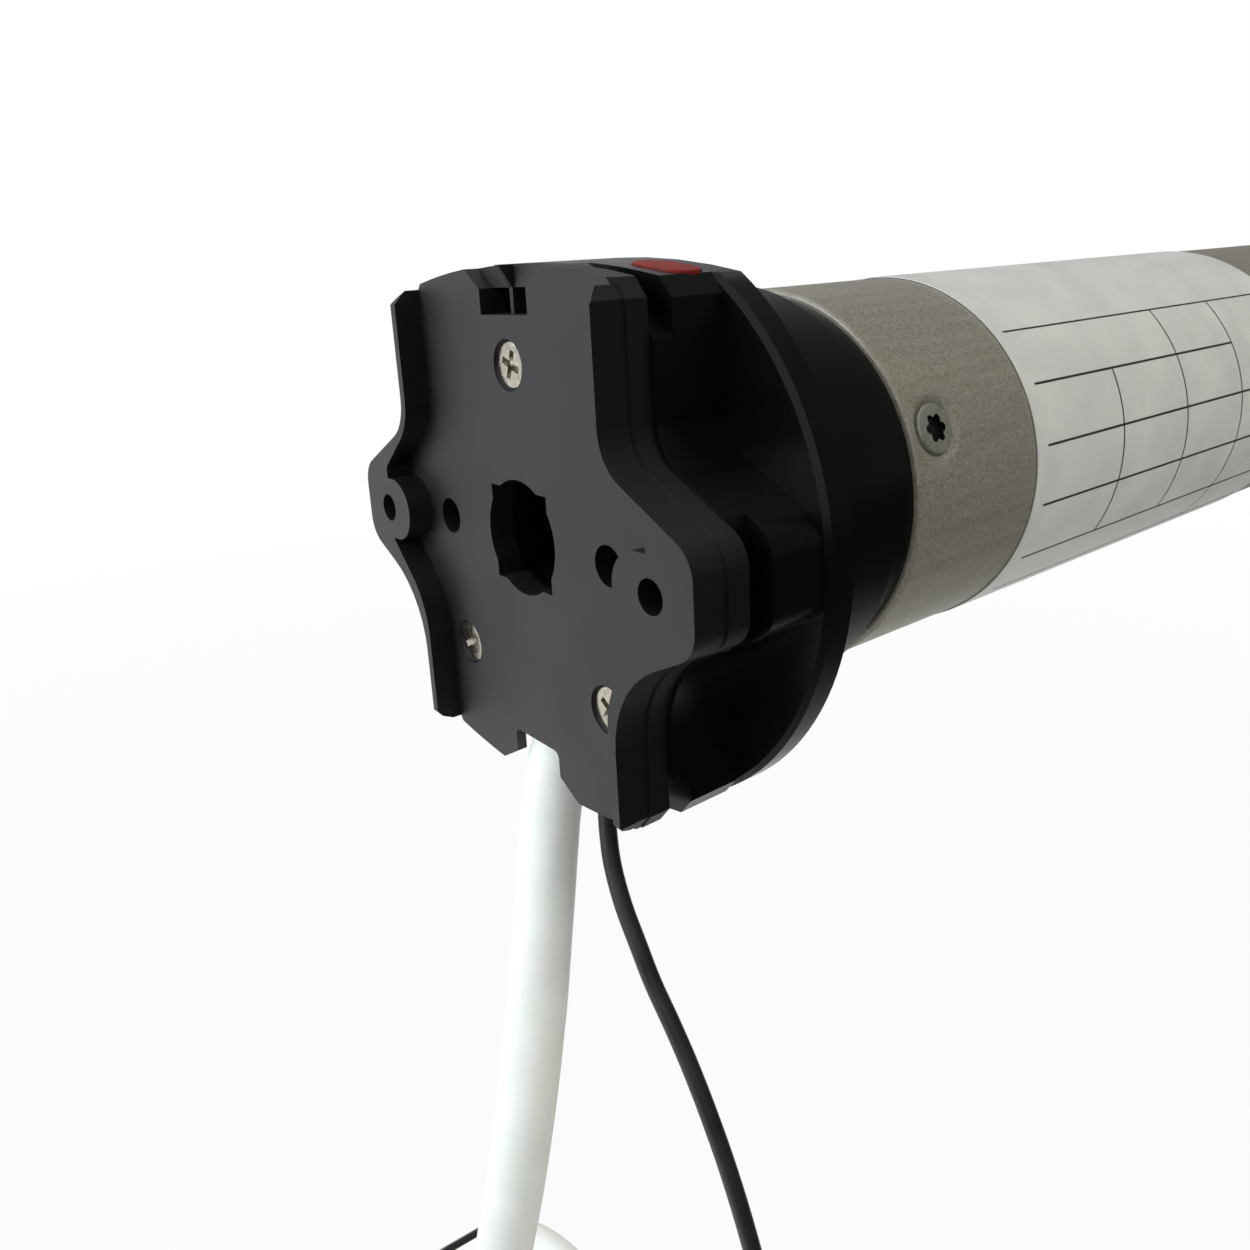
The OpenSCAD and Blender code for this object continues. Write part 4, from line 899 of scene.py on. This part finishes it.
def brightness(tree, way, sizes, surface):
    # how bright the room is along one direction, or the paper at one place
    soft = sizes[surface + "Soft"]
    facing = addNode(tree, "ShaderNodeVectorMath", {
        0: way, 1: sizes[surface + "Side"]}, operation="DOT_PRODUCT").outputs["Value"]
    return addNode(tree, "ShaderNodeMapRange", {
        "Value": facing, "From Min": -soft, "From Max": soft,
        "To Min": sizes[surface + "Dark"], "To Max": sizes[surface + "Light"],
    }, interpolation_type="SMOOTHSTEP").outputs["Result"]


def seenDirectly(tree):
    # by the camera itself, or through something clear
    seen = addNode(tree, "ShaderNodeLightPath").outputs
    return addNode(tree, "ShaderNodeMath", {
        0: seen["Is Camera Ray"], 1: seen["Is Transmission Ray"]}, operation="MAXIMUM").outputs[0]


def makeFloor(sizes):
    low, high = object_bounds()
    bpy.ops.mesh.primitive_plane_add(
        size=sizes["floorSize"], location=(sizes["floorX"], 0, low[2] - sizes["floorDrop"]))
    floor = settle(bpy.context.object)
    floor.name = "studioFloor"
    material, tree, shader, place = startMaterial("paleStudioPaper", {
        "Roughness": 0.9, "Specular IOR Level": 0.1, "Base Color": toLinear(sizes["floorTint"])})
    # the shadow near the piece fades out, so that the paper meets the backdrop without an edge
    away = addNode(tree, "ShaderNodeVectorMath", {0: place}, operation="LENGTH").outputs["Value"]
    share = addNode(tree, "ShaderNodeMapRange", {
        "Value": away, "From Min": sizes["fadeFrom"], "From Max": sizes["fadeTo"],
        "To Min": sizes["floorShare"], "To Max": 1.0}).outputs["Result"]
    share = addNode(tree, "ShaderNodeMath", {
        0: share, 1: seenDirectly(tree)}, operation="MULTIPLY").outputs[0]
    glow = addNode(tree, "ShaderNodeEmission", {"Color": white, "Strength": 1.0}).outputs[0]
    paper = addNode(tree, "ShaderNodeMixShader", {0: share, 1: shader.outputs[0], 2: glow}).outputs[0]
    # polished pieces mirror the paper bright behind them and dark in front
    mirrored = addNode(tree, "ShaderNodeEmission", {
        "Color": toLinear(sizes["mirroredTint"]),
        "Strength": brightness(tree, place, sizes, "paper")}).outputs[0]
    glossy = addNode(tree, "ShaderNodeLightPath").outputs["Is Glossy Ray"]
    mix = addNode(tree, "ShaderNodeMixShader", {0: glossy, 1: paper, 2: mirrored})
    tree.links.new(mix.outputs[0], tree.nodes["Material Output"].inputs["Surface"])
    floor.data.materials.append(material)
    floor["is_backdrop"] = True


def makeWorld(sizes):
    world = bpy.data.worlds.new("studioRoom")
    bpy.context.scene.world = world
    world.use_nodes = True
    tree = world.node_tree
    tree.nodes.clear()
    way = addNode(tree, "ShaderNodeTexCoord").outputs["Generated"]
    # the room is bright on the head's side and behind, and dim towards the drive end
    room = addNode(tree, "ShaderNodeBackground", {
        "Color": toLinear(sizes["roomTint"]), "Strength": brightness(tree, way, sizes, "room")}).outputs[0]
    paper = addNode(tree, "ShaderNodeBackground", {"Color": white, "Strength": 1.0}).outputs[0]
    mix = addNode(tree, "ShaderNodeMixShader", {0: seenDirectly(tree), 1: room, 2: paper}).outputs[0]
    addNode(tree, "ShaderNodeOutputWorld", {"Surface": mix})


lampSizes = {
    "key": {"place": (-0.62, 0.2, 0.3), "size": 0.5, "watts": 3.8, "tint": "#e9f3ff", "mirrored": True},
    "top": {"place": (0.1, 0.2, 0.8), "size": 0.6, "watts": 0.6, "tint": "#ffffff", "mirrored": True},
    "side": {"place": (0.5, -0.5, 0.62), "size": 0.5, "watts": 3.8, "tint": "#fff8ee", "mirrored": False},
}


def makeLamp(name, sizes, target):
    bpy.ops.object.light_add(type="AREA", location=sizes["place"])
    lamp = bpy.context.object
    lamp.name = name
    lamp.data.shape = "DISK"
    lamp.data.size = sizes["size"]
    lamp.data.energy = sizes["watts"]
    lamp.data.color = toLinear(sizes["tint"])[:3]
    lamp.visible_glossy = sizes["mirrored"]
    lamp.rotation_euler = (Vector(target) - Vector(sizes["place"])).to_track_quat("-Z", "Y").to_euler()


makeFloor(studioSizes)
makeWorld(studioSizes)
for lampName, sizes in lampSizes.items():
    makeLamp(lampName + "Lamp", sizes, studioSizes["lampTarget"])
bpy.context.scene.view_settings.view_transform = "Standard"
print("studio made")
